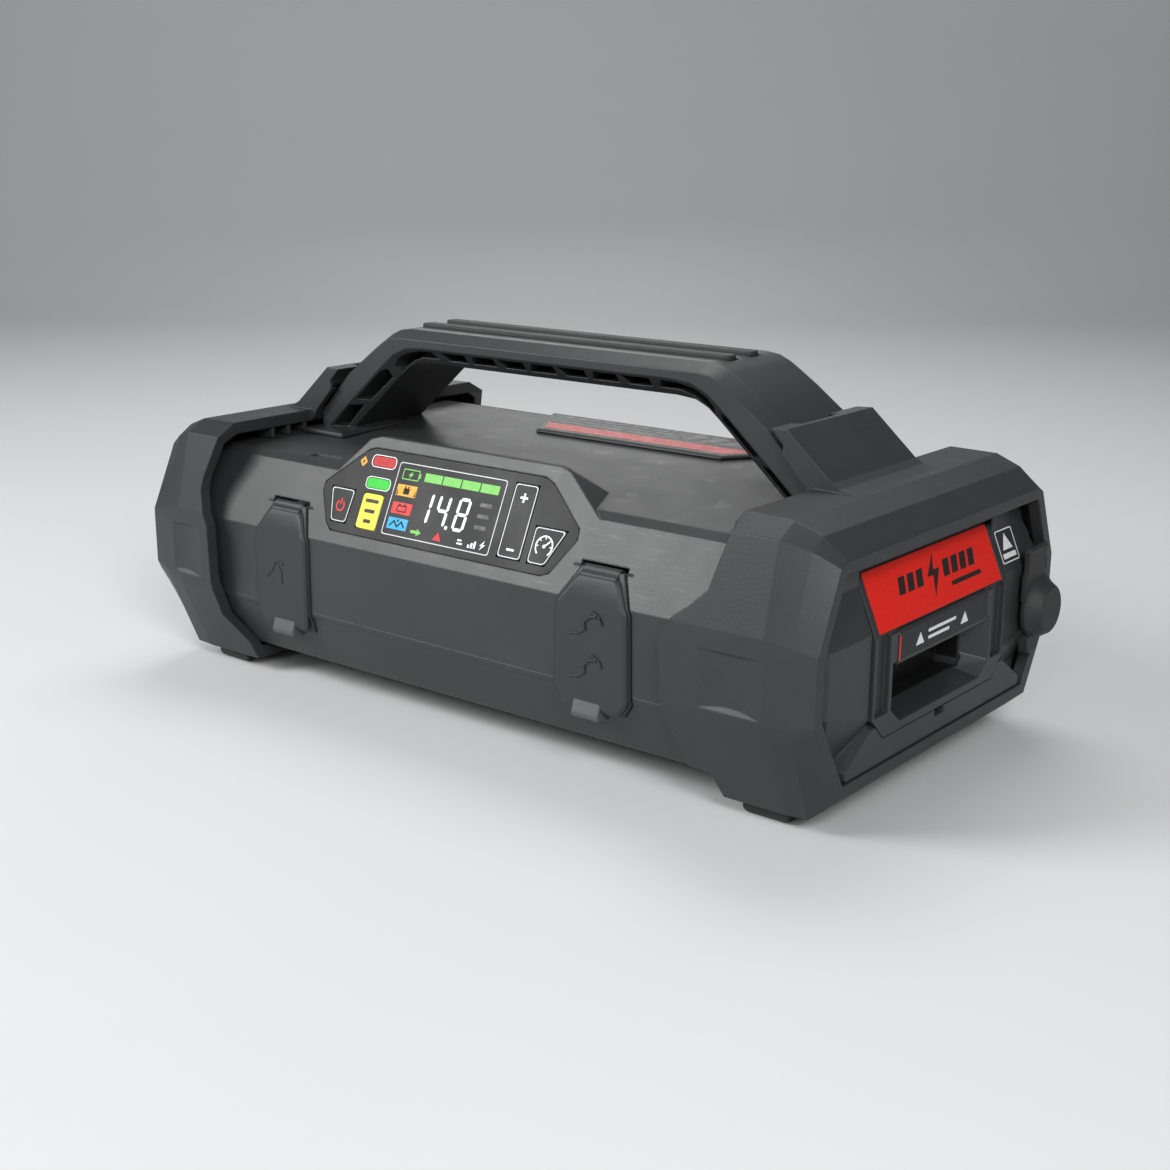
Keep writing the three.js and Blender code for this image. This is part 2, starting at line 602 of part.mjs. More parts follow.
function adjustRocker() {
  const bevel = [[9, 16], [31, 38]].map(([s0, s1]) => {
    const edge = s0 === 9 ? s0 : s1;
    const middle = s0 === 9 ? s1 : s0;
    const corners = [[edge, -6.2], [edge, -9], [middle, -9], [middle, -6.7]];
    return hull([22, 36].flatMap((x) => corners.map(([up, off]) => facetPoint(x, up, off).toArray())));
  });
  return cutAll(prismFacet(rounded(ADJUST_ROCKER, 1.5), -6.6, 0), bevel);
}

function displayBoard() {
  const outline = offset(WINDOW, -4.5);
  const driver = prismFacet([[-30, 14], [-30, 30], [8, 30], [8, 14]], -11.5, -8.9);
  return prismFacet(outline, -9.2, -7.5).add(driver);
}

// ---------- port covers and trays ----------
function portCover(outline, barrel, tab) {
  const band = skin(COVER_PROUD, COVER_PROUD - COVER_THICK, -120, 120)
    .intersect(prismY(outline, -100, -60));
  const aboveHinge = prismFacet([[-130, HINGE_S], [-130, 40], [130, 40], [130, HINGE_S]], -12, 12);
  const roll = bar('x', COVER_THICK / 2, barrel[0], barrel[1], hingeLine.y, hingeLine.z, 20);
  const lift = hull([tab[0], tab[1]].flatMap((x) => [
    [x, -82, 31], [x, -84.6, 31], [x, -79.6, 24.4], [x, -83, 25],
  ]));
  const hole = bar('x', HINGE_PIN_R + 0.08, barrel[0] - 3, barrel[1] + 3, hingeLine.y, hingeLine.z, 12);
  return joinAll([band.subtract(aboveHinge), roll, lift]).subtract(hole);
}

const coverPin = ([from, to]) => (
  bar('x', HINGE_PIN_R, from - PIN_OVERHANG, to + PIN_OVERHANG, hingeLine.y, hingeLine.z, 12)
);

/** Recessed tray behind a cover: a flange inside the casing wall and a well between x0 and x1. */
function portTray(outline, x0, x1) {
  const edge = offset(outline, 3).map(([x, z]) => [x, Math.min(Math.max(z, SEAM_Z + 1), 78)]);
  const flange = skin(-WALL - GAP, -WALL - GAP - 2, x0 - 6, x1 + 6).intersect(prismY(edge, -100, -60));
  const well = block(x0 - 1.6, x1 + 1.6, -79.4, -62, 37.4, 65.6);
  return flange.add(well).subtract(block(x0, x1, -90, -64, 39, 64));
}

function clampSocket() {
  const outside = [[-103, 44], [-103, 59], [-83, 59], [-83, 44]];
  const inside = offset(outside, -1.8);
  return prismY(rounded(outside, 2), -64.3, -70).subtract(prismY(rounded(inside, 1.5), -65, -71));
}

function hosePort(z) {
  return joinAll([
    bar('y', 6, -68, -64.3, 73, z, 6),
    bar('y', 3.4, -75, -67, 73, z, 16),
    bar('y', 4.3, -74, -71.5, 73, z, 16),
  ]).subtract(bar('y', 1.7, -76, -66, 73, z, 12));
}

function endPortSocket() {
  const bore = bar('x', 4.9, 162, 170, PORT_Y, PORT_Z, 20);
  return bar('x', 7, BODY_END + 0.6, 168.2, PORT_Y, PORT_Z, 24).subtract(bore);
}

function endPortCap() {
  const profile = [
    [0, 0], [12.4, 0], [13.2, 0.8], [13.2, 2.4], [11.8, 3.6], [9.6, 7.2], [8.8, 7.7], [0, 7.7],
  ];
  const cap = new THREE.LatheGeometry(profile.map(([r, h]) => new THREE.Vector2(r, h)), 28);
  cap.rotateZ(-Math.PI / 2).translate(RIM_X + GAP, PORT_Y, PORT_Z);
  const strap = prismX([
    [62, 54], [79.5, 54], [79.1, 63], [77.7, 66], [77.7, 70],
    [78.9, 74], [62.1, 74], [63.3, 70], [63.3, 66], [61.9, 63],
  ], RIM_X + GAP, 172.6);
  const knobOutline = [[62, 40], [75, 40], [63, 33.5], [71, 33.5]];
  const knob = hull(knobOutline.flatMap(([y, z]) => [[RIM_X + GAP, y, z], [174.2, y, z]]));
  const plug = bar('x', 3.9, 167.4, 171, PORT_Y, PORT_Z, 20);
  const pivot = bar('y', 1.4, 62.5, 78.5, 171.7, 74, 16);
  return joinAll([solid(cap), strap, knob, plug, pivot]);
}

// ---------- jump starter module ----------
const WELL_MOUTH_X = 160;     // where the finger well starts to flare
const PIN_X = RING_AXIS[0];
const PIN_Z = RING_AXIS[1];

function moduleFront() {
  const side = [[FRONT_BLOCK_X, MODULE_FLOOR], [FRONT_X, MODULE_FLOOR], LABEL_FOOT, LABEL_TOP,
    [FRONT_BLOCK_X, LABEL_TOP[1]]];
  const width = [[-42, MODULE_FLOOR], [42, MODULE_FLOOR], [FLANGE_HALF, 36], [FLANGE_HALF, 87.5],
    [-FLANGE_HALF, 87.5], [-FLANGE_HALF, 36]];
  const whole = prismY(side, -FLANGE_HALF, FLANGE_HALF).intersect(prismX(width, FRONT_BLOCK_X, 172));
  const shoulders = [-60, 47].map((y) => block(130, 160.5, y, y + 13, 20, 95));
  const slope = new THREE.Vector2(LABEL_FOOT[0] - LABEL_TOP[0], LABEL_FOOT[1] - LABEL_TOP[1]).normalize();
  const inward = [slope.y * 0.9, -slope.x * 0.9];
  const labelSeat = prismY([
    [LABEL_TOP[0] - slope.x * 9, LABEL_TOP[1] - slope.y * 9], [LABEL_FOOT[0], LABEL_FOOT[1]],
    [LABEL_FOOT[0] + 8, LABEL_FOOT[1]], [LABEL_TOP[0] + 8, LABEL_TOP[1] + 9],
  ].map(([x, z], i) => (i < 2 ? [x + inward[0], z + inward[1]] : [x, z])), -47, 47);
  const ringSeat = block(163, 180, -RING_HALF - 0.4, RING_HALF + 0.4, 51, 65.5);
  const hole = prismX(rounded([[-32, 34], [32, 34], [32, 56], [-32, 56]], 5), 150, WELL_MOUTH_X + 1)
    .intersect(block(140, 180, -40, 40, 30, 54));
  const mouth = hull([
    [WELL_MOUTH_X, 27, 34], [WELL_MOUTH_X, 32, 39], [WELL_MOUTH_X, 32, 54],
    [FRONT_X + 1, 31, 30.8], [FRONT_X + 1, 38, 36.4], [FRONT_X + 1, 38, 54],
  ].flatMap(([x, y, z]) => [[x, y, z], [x, -y, z]]));
  const channels = [-48.8, 39.4].map((y) => hull([
    [167.2, y, 37], [167.2, y + 9.4, 37], [167.2, y, 65], [167.2, y + 9.4, 65],
    [180, y, 34.6], [180, y + 9.4, 34.6], [180, y, 65], [180, y + 9.4, 65],
  ]));
  const pinHole = bar('y', 0.88, -36.9, 36.9, PIN_X, PIN_Z, 12);
  const boltSlot = block(142, 148, -BOLT_HALF - 0.4, BOLT_HALF + 0.4, 20, 46);
  return cutAll(whole, [...shoulders, labelSeat, ringSeat, hole, mouth, ...channels, pinHole, boltSlot]);
}

function moduleLabel() {
  const slope = new THREE.Vector2(LABEL_FOOT[0] - LABEL_TOP[0], LABEL_FOOT[1] - LABEL_TOP[1]).normalize();
  const at = (along, depth) => [
    LABEL_TOP[0] + slope.x * along + slope.y * depth, LABEL_TOP[1] + slope.y * along - slope.x * depth,
  ];
  return prismY([at(1, 0.6), at(23, 0.6), at(23, 0.1), at(1, 0.1)], -46.6, 46.6);
}

function pullRing() {
  const outline = [
    [165.9, PIN_Z], [165.9, 57], [163.4, 55.2], [163.4, 53.4], [165, 52.4],
    [169, 52.4], [169.8, 53.4], [169.8, PIN_Z],
  ];
  const plate = prismY(outline, -RING_HALF, RING_HALF);
  const roll = bar('y', RING_R, -RING_HALF, RING_HALF, PIN_X, PIN_Z, 20);
  return plate.add(roll).subtract(bar('y', 0.88, -40, 40, PIN_X, PIN_Z, 12));
}

const CASE_END = FRONT_BLOCK_X - GAP;
const CASE_SPLIT = 57;        // height of the seam between the case's halves
const CASE_BOTTOM = 32.4;

function moduleCase(z0, z1, openZ0, openZ1) {
  const room = block(MODULE_BACK + 2, CASE_END - 2, -MODULE_HALF + 2, MODULE_HALF - 2, openZ0, openZ1);
  return block(MODULE_BACK, CASE_END, -MODULE_HALF, MODULE_HALF, z0, z1).subtract(room);
}

function baySleeve() {
  const shell = block(-23, 159, -49.5, 49.5, 25, 91);
  const room = block(-20, 165, -47.5, 47.5, 27, 89);
  const boltGroove = block(120, 165, -BOLT_HALF - 0.8, BOLT_HALF + 0.8, 20, 30);
  const contactHoles = [-1, 1].map((s) => block(-25, -15, s * 20 - 5.3, s * 20 + 5.3, 44.7, 61.3));
  return cutAll(shell, [room, boltGroove, ...contactHoles]);
}

// ---------- air pump ----------
/** Spur gear outline (module 1) round a centre, with the first tooth at angle start. */
function gearOutline(teeth, start) {
  const radius = teeth / 2;
  const pitch = (2 * Math.PI) / teeth;
  const shape = [];
  for (let i = 0; i < teeth; i += 1) {
    const middle = start + i * pitch;
    const flanks = [[-0.3, radius - 1.25], [-0.12, radius + 0.9], [0.12, radius + 0.9], [0.3, radius - 1.25]];
    flanks.forEach(([t, r]) => {
      shape.push([r * Math.cos(middle + t * pitch), r * Math.sin(middle + t * pitch)]);
    });
  }
  return shape;
}

const gear = (teeth, start, [cx, cz], y0, y1) => (
  prismY(gearOutline(teeth, start).map(([u, v]) => [cx + u, cz + v]), y0, y1)
);

function crankGear() {
  return joinAll([
    gear(CRANK_TEETH, 0, CRANK, 5.2, 10), bar('y', 4, -6, 6, CRANK[0], CRANK[1]),
    bar('y', 3, 9, 18.6, CRANK[0], CRANK[1] + THROW),
  ]);
}

function motorRotor() {
  const fan = [0, 1, 2, 3, 4].map((i) => {
    const angle = (i * 2 * Math.PI) / 5;
    const blade = new THREE.BoxGeometry(13, 5, 1.4);
    blade.rotateX(0.5).translate(9, 0, 0).rotateY(angle).translate(MOTOR[0], -56.5, MOTOR[1]);
    return solid(blade);
  });
  return joinAll([
    gear(PINION_TEETH, Math.PI / PINION_TEETH, MOTOR, 5, 10.4), bar('y', 1.5, -59, 6, ...MOTOR),
    bar('y', 4.5, -59.5, -53.5, ...MOTOR), ...fan,
  ]);
}

function connectingRod() {
  const [x, z] = [CRANK[0], CRANK[1] + THROW];
  const shank = block(x - 3, x + 3, 11.5, 16.5, z + 4, 56);
  return joinAll([shank, bar('y', 6.2, 11, 17.4, x, z), bar('y', 4.5, 11, 17.4, x, 56)])
    .subtract(bar('y', 3.1, 5, 25, x, z));
}

function pumpFrame() {
  const plate = prismY([[-140, 15], [-66, 15], [-66, 66], [-140, 66]], 1, 4);
  const foot1 = block(-140, -66, 1, 36, 13.4, 16);
  return cutAll(plate.add(foot1), [
    bar('y', 4.2, -5, 10, ...CRANK), bar('y', 2.2, -5, 10, ...MOTOR), bar('y', 26.5, 4, 40, ...CRANK, 32),
  ]);
}

/** Upright round bar on the pump cylinder's axis. */
const pumpBar = (radius, z0, z1) => bar('z', radius, z0, z1, CRANK[0], CYLINDER_Y, 28);

const pumpCylinder = () => pumpBar(19, 68, 93).subtract(pumpBar(BORE_R, 60, 100));

const pumpPiston = () => pumpBar(BORE_R - GAP, 69, 81).subtract(pumpBar(12.8, 60, 77.5));

function pumpHead() {
  const outlet = bar('x', 3.2, CRANK[0] + 15, CRANK[0] + 28, CYLINDER_Y, 95, 12);
  return pumpBar(19, 93 + GAP, 96.4).add(outlet.intersect(block(-80, -40, 0, 30, 93 + GAP, 97)));
}

function mainBoard() {
  const chips = [[-140, -120, 30, 50], [-110, -96, 60, 74], [-88, -70, 34, 46]].map(([x0, x1, z0, z1]) => (
    block(x0, x1, 64.5, 68.5, z0, z1)
  ));
  return joinAll([block(-150, -60, 68, 69.6, 24, 84), ...chips]);
}

function caseScrew([x, y]) {
  return bar('z', 3.6, 13.3, 15.7, x, y, 16).add(bar('z', 1.5, 15, 44, x, y, 12));
}

// ---------- the assembly ----------
addPart('upper_shell', upperShell(), casing);
addPart('lower_shell', lowerShell(), casing);
addPart('right_bumper', endBumper(1, RIGHT_EDGE), bumper);
addPart('left_bumper', endBumper(-1, LEFT_EDGE), bumper);
addPart('right_end_panel', rightEndPanel(), casing);
addPart('left_end_panel', leftEndPanel(), casing);
addPart('handle_frame', handleFrame(), casing);
addPart('grip_strip_front', gripStrip(-1), rubber);
addPart('grip_strip_back', gripStrip(1), rubber);
addPart('top_label', topLabel(), black);

addPart('display_window', displayWindow(), glass);
addPart('lcd_module', prismFacet(LCD, -7.2, -2.2), black);
addPart('display_board', displayBoard(), board);
addPart('red_indicator', prismFacet(rounded(RED_LAMP, 1.9), -7.2, -0.1), lampRed);
addPart('green_indicator', prismFacet(rounded(GREEN_LAMP, 1.9), -7.2, -0.1), lampGreen);
addPart('power_key', keycap(POWER_KEY), darkPlastic);
addPart('unit_key', keycap(UNIT_KEY), yellow);
addPart('pump_key', keycap(PUMP_KEY), darkPlastic);
addPart('adjust_rocker', adjustRocker(), darkPlastic);

addPart('left_port_cover', portCover(LEFT_COVER, LEFT_BARREL, [-97, -85]), rubber);
addPart('right_port_cover', portCover(RIGHT_COVER, RIGHT_BARREL, [66, 78]), rubber);
addPart('left_cover_pin', coverPin(LEFT_BARREL), steel);
addPart('right_cover_pin', coverPin(RIGHT_BARREL), steel);
addPart('left_port_tray', portTray(LEFT_COVER, -105, -81), darkPlastic);
addPart('right_port_tray', portTray(RIGHT_COVER, 60, 86), darkPlastic);
addPart('clamp_socket', clampSocket(), black);
addPart('hose_port_upper', hosePort(57.5), steel);
addPart('hose_port_lower', hosePort(45), steel);
addPart('end_port_socket', endPortSocket(), black);
addPart('end_port_cap', endPortCap(), rubber);

addPart('module_front', moduleFront(), casing);
addPart('module_label', moduleLabel(), red);
addPart('module_case_top', moduleCase(CASE_SPLIT + GAP / 2, 87, 40, 85), darkPlastic);
addPart('module_case_bottom', joinAll([
  moduleCase(CASE_BOTTOM, CASE_SPLIT - GAP / 2, CASE_BOTTOM + 2, 70),
  block(MODULE_BACK, CASE_END, -36, -30, MODULE_FLOOR, CASE_BOTTOM),
  block(MODULE_BACK, CASE_END, 30, 36, MODULE_FLOOR, CASE_BOTTOM),
]), darkPlastic);
addPart('cell_pack_front', block(-8, 112, -43, -GAP, 35, 72), cellWrap);
addPart('cell_pack_back', block(-8, 112, GAP, 43, 35, 72), cellWrap);
addPart('module_board', block(-8, 128, -40, 40, 73, 74.6).add(block(20, 60, -20, 20, 74, 80)), board);
addPart('pull_ring', pullRing(), casing);
addPart('pull_ring_pin', bar('y', 0.8, -36.5, 36.5, PIN_X, PIN_Z, 12), steel);
addPart('lock_bolt', block(142.4, 147.6, -BOLT_HALF, BOLT_HALF, 25.7, 42), nylon);
addPart('bay_sleeve', baySleeve(), darkPlastic);
addPart('bay_contact_positive', block(-30, -12.6, 15, 25, 45, 61), aluminium);
addPart('bay_contact_negative', block(-30, -12.6, -25, -15, 45, 61), aluminium);

addPart('main_board', mainBoard(), board);
addPart('pump_frame', pumpFrame(), aluminium);
addPart('pump_motor', bar('y', 17, -50, 0.7, ...MOTOR, 28).subtract(bar('y', 1.8, -60, 10, ...MOTOR)), steel);
addPart('motor_rotor', motorRotor(), steel);
addPart('crank_gear', crankGear(), nylon);
addPart('connecting_rod', connectingRod(), aluminium);
addPart('pump_cylinder', pumpCylinder(), aluminium);
addPart('pump_piston', pumpPiston(), aluminium);
addPart('pump_head', pumpHead(), aluminium);

addPart('foot_front_left', foot(-1, -1), rubber);
addPart('foot_front_right', foot(1, -1), rubber);
addPart('foot_back_left', foot(-1, 1), rubber);
addPart('foot_back_right', foot(1, 1), rubber);
SCREW_PLACES.forEach((place, i) => addPart(`case_screw_${i + 1}`, caseScrew(place), steel));

export default pack;
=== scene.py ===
# Jump starter pack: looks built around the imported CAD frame. Metres, +Z up.
import json
import math

import bmesh
import bpy
from mathutils import Matrix, Vector


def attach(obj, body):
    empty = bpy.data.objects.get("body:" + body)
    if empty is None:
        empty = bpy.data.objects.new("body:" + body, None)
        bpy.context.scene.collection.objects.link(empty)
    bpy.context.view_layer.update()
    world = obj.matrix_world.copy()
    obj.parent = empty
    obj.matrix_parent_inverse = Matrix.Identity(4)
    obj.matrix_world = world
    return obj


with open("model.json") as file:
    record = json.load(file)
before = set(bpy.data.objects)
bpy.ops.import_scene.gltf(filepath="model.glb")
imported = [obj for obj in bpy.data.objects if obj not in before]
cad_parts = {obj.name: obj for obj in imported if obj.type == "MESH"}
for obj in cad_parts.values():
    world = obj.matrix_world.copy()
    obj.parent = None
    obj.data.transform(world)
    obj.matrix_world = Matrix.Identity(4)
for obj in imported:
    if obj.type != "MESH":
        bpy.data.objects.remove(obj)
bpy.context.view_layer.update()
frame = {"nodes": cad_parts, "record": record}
NODES = frame["nodes"]
JOINTS = {j["name"]: j for j in frame["record"]["behaviour"]["joints"]}
MM = 0.001

# ---------------------------------------------------------------- camera
CAM_PLACE = (0.43466, -0.53694, 0.23686)
CAM_AZIMUTH, CAM_ELEVATION, CAM_ROLL = math.radians(38.825), math.radians(15.599), math.radians(0.167)
CAM_LENS = 52.01


def make_camera():
    a, e, r = CAM_AZIMUTH, CAM_ELEVATION, CAM_ROLL
    forward = Vector((-math.sin(a) * math.cos(e), math.cos(a) * math.cos(e), -math.sin(e)))
    level = Vector((math.cos(a), math.sin(a), 0))
    rise = level.cross(forward)
    right = level * math.cos(r) + rise * math.sin(r)
    up = rise * math.cos(r) - level * math.sin(r)
    data = bpy.data.cameras.new("camera")
    data.lens, data.sensor_width = CAM_LENS, 36
    data.clip_start, data.clip_end = 0.01, 20
    cam = bpy.data.objects.new("camera", data)
    turn = Matrix((right, up, -forward)).transposed()
    cam.matrix_world = Matrix.Translation(CAM_PLACE) @ turn.to_4x4()
    bpy.context.scene.collection.objects.link(cam)
    bpy.context.scene.camera = cam


make_camera()
bpy.context.scene.view_settings.view_transform = "Standard"


# ---------------------------------------------------------------- materials
class Nodes:
    """Small helper for building a node material."""

    def __init__(self, name):
        self.mat = bpy.data.materials.new(name)
        self.mat.use_nodes = True
        self.tree = self.mat.node_tree
        self.shader = self.tree.nodes["Principled BSDF"]
        self.coords = self.add("ShaderNodeTexCoord").outputs["Object"]
        self.round = None

    def add(self, kind, **values):
        node = self.tree.nodes.new(kind)
        for key, value in values.items():
            setattr(node, key, value)
        return node

    def link(self, a, b):
        self.tree.links.new(a, b)

    def noise(self, scale, detail=3.0, rough=0.55, stretch=None):
        node = self.add("ShaderNodeTexNoise")
        node.inputs["Scale"].default_value = scale
        node.inputs["Detail"].default_value = detail
        node.inputs["Roughness"].default_value = rough
        source = self.coords
        if stretch:
            mapping = self.add("ShaderNodeMapping")
            mapping.inputs["Scale"].default_value = stretch
            self.link(source, mapping.inputs["Vector"])
            source = mapping.outputs["Vector"]
        self.link(source, node.inputs["Vector"])
        return node.outputs["Fac"]

    def ramp(self, fac, stops):
        node = self.add("ShaderNodeValToRGB")
        elements = node.color_ramp.elements
        elements[0].position = stops[0][0]
        elements[-1].position = stops[-1][0]
        for pos, _ in stops[1:-1]:
            elements.new(pos)
        for element, (_, value) in zip(elements, stops):
            element.color = (*value, 1) if isinstance(value, tuple) else (value, value, value, 1)
        self.link(fac, node.inputs["Fac"])
        return node.outputs["Color"]

    def mix(self, fac, a, b, mode="MIX"):
        node = self.add("ShaderNodeMix", data_type="RGBA", blend_type=mode)
        for socket, value in ((node.inputs[0], fac), (node.inputs[6], a), (node.inputs[7], b)):
            if hasattr(value, "is_linked"):
                self.link(value, socket)
            elif isinstance(value, tuple):
                socket.default_value = (*value, 1)
            else:
                socket.default_value = value
        return node.outputs[2]

    def math(self, op, a, b=0.0):
        node = self.add("ShaderNodeMath", operation=op)
        for socket, value in zip(node.inputs, (a, b)):
            if hasattr(value, "is_linked"):
                self.link(value, socket)
            else:
                socket.default_value = value
        return node.outputs[0]

    def edges(self, radius):
        """1 on sharp edges, 0 on flats; keeps the rounded normal for bump()."""
        bevel = self.add("ShaderNodeBevel", samples=6)
        bevel.inputs["Radius"].default_value = radius
        self.round = bevel.outputs[0]
        geometry = self.add("ShaderNodeNewGeometry")
        dot = self.add("ShaderNodeVectorMath", operation="DOT_PRODUCT")
        self.link(bevel.outputs[0], dot.inputs[0])
        self.link(geometry.outputs["Normal"], dot.inputs[1])
        return self.math("SUBTRACT", 1.0, dot.outputs["Value"])

    def bump(self, height, strength, distance):
        node = self.add("ShaderNodeBump")
        node.inputs["Strength"].default_value = strength
        node.inputs["Distance"].default_value = distance
        self.link(height, node.inputs["Height"])
        if self.round:
            self.link(self.round, node.inputs["Normal"])
        self.link(node.outputs["Normal"], self.shader.inputs["Normal"])


def scaled(color, factor):
    return tuple(min(1.0, c * factor) for c in color)


MOULD_ROUND = 0.0009     # radius that shading gives to moulded edges
METAL_ROUND = 0.0006
MOULD_SPECULAR = 0.4
PRINT_SPECULAR = 0.2


def moulded(name, color, rough=0.5, grain=0.5, grain_scale=1500, edge_wear_and_highlight=0.5, vary=0.1):
    """Injection-moulded plastic: fine spark-eroded grain, slight mottling, rubbed edges with a painted edge
    highlight.
    """
    n = Nodes(name)
    mottle = n.ramp(n.noise(23, 4), [(0.3, 0.0), (0.72, 1.0)])
    base = n.mix(mottle, scaled(color, 1 - vary), scaled(color, 1 + vary))
    fine = n.noise(grain_scale, 2.5, 0.6)
    speck = n.ramp(fine, [(0.42, 0.0), (0.66, 1.0)])
    base = n.mix(n.math("MULTIPLY", speck, 0.35 * grain), base, scaled(color, 1.35))
    # Lighter edges: rubbed wear broken up by noise, together with a painted edge highlight on every sharp
    # edge.
    scuff = n.ramp(n.noise(300, 5, 0.7), [(0.45, 0.15), (0.65, 1.0)])
    edge = n.ramp(n.edges(MOULD_ROUND), [(0.02, 0.0), (0.22, 1.0)])
    rubbed_and_lit_edges = n.math("MULTIPLY", n.math("MULTIPLY", edge, scuff), edge_wear_and_highlight)
    base = n.mix(rubbed_and_lit_edges, base, scaled(color, 1.9))
    n.link(base, n.shader.inputs["Base Color"])
    gloss = n.ramp(n.noise(60, 3), [(0.3, rough - 0.015), (0.7, rough + 0.02)])
    scratch = n.ramp(n.noise(90, 2, 0.5, stretch=(1, 1, 22)), [(0.62, 0.0), (0.68, 1.0)])
    rough_mix = n.math("SUBTRACT", gloss, n.math("MULTIPLY", scratch, 0.05))
    n.link(rough_mix, n.shader.inputs["Roughness"])
    n.shader.inputs["Specular IOR Level"].default_value = MOULD_SPECULAR
    n.bump(fine, 0.35 * grain, 0.00025)
    return n.mat


def metal(name, color, rough=0.3, brush=(1, 60, 60)):
    """Brushed or cast metal."""
    n = Nodes(name)
    streak = n.noise(40, 4, 0.6, stretch=brush)
    base = n.mix(n.ramp(streak, [(0.3, 0.0), (0.7, 1.0)]), scaled(color, 0.8), color)
    # Painted edge highlight: every sharp edge is made lighter.
    edge = n.ramp(n.edges(METAL_ROUND), [(0.03, 0.0), (0.3, 1.0)])
    n.link(n.mix(n.math("MULTIPLY", edge, 0.5), base, scaled(color, 1.25)), n.shader.inputs["Base Color"])
    n.shader.inputs["Metallic"].default_value = 1.0
    n.link(n.ramp(streak, [(0.2, rough - 0.06), (0.8, rough + 0.12)]), n.shader.inputs["Roughness"])
    n.bump(streak, 0.15, 0.0001)
    return n.mat


def glossy(name, color, rough=0.08, coat=0.6, vary=0.1, specular=0.5):
    """Smooth gloss panel with faint smudges."""
    n = Nodes(name)
    smudge = n.noise(35, 4, 0.6)
    n.link(n.mix(n.ramp(smudge, [(0.35, 0.0), (0.7, 1.0)]), scaled(color, 1 - vary), scaled(color, 1 + vary)),
           n.shader.inputs["Base Color"])
    dust = n.ramp(n.noise(1400, 2), [(0.68, 0.0), (0.74, 1.0)])
    n.link(n.math("ADD", n.ramp(smudge, [(0.3, rough), (0.75, rough + 0.14)]), n.math("MULTIPLY", dust, 0.2)),
           n.shader.inputs["Roughness"])
    n.shader.inputs["Coat Weight"].default_value = coat
    n.shader.inputs["Specular IOR Level"].default_value = specular
    n.shader.inputs["Coat Roughness"].default_value = 0.06
    n.bump(n.noise(8, 1), 0.04, 0.0006)
    return n.mat


def printed(name, color, rough=0.38, glow=0.0, glow_color=None):
    """Printed or lit graphic, with a slightly uneven ink."""
    n = Nodes(name)
    ink = n.ramp(n.noise(700, 3), [(0.3, 0.0), (0.7, 1.0)])
    n.link(n.mix(ink, scaled(color, 0.86), color), n.shader.inputs["Base Color"])
    n.link(n.ramp(n.noise(400, 2), [(0.3, rough - 0.06), (0.7, rough + 0.08)]), n.shader.inputs["Roughness"])
    n.shader.inputs["Specular IOR Level"].default_value = PRINT_SPECULAR
    if glow:
        shine = glow_color or color
        n.link(n.mix(ink, scaled(shine, 0.92), shine), n.shader.inputs["Emission Color"])
        n.shader.inputs["Emission Strength"].default_value = glow
    n.bump(n.noise(1600, 2), 0.08, 0.00008)
    return n.mat


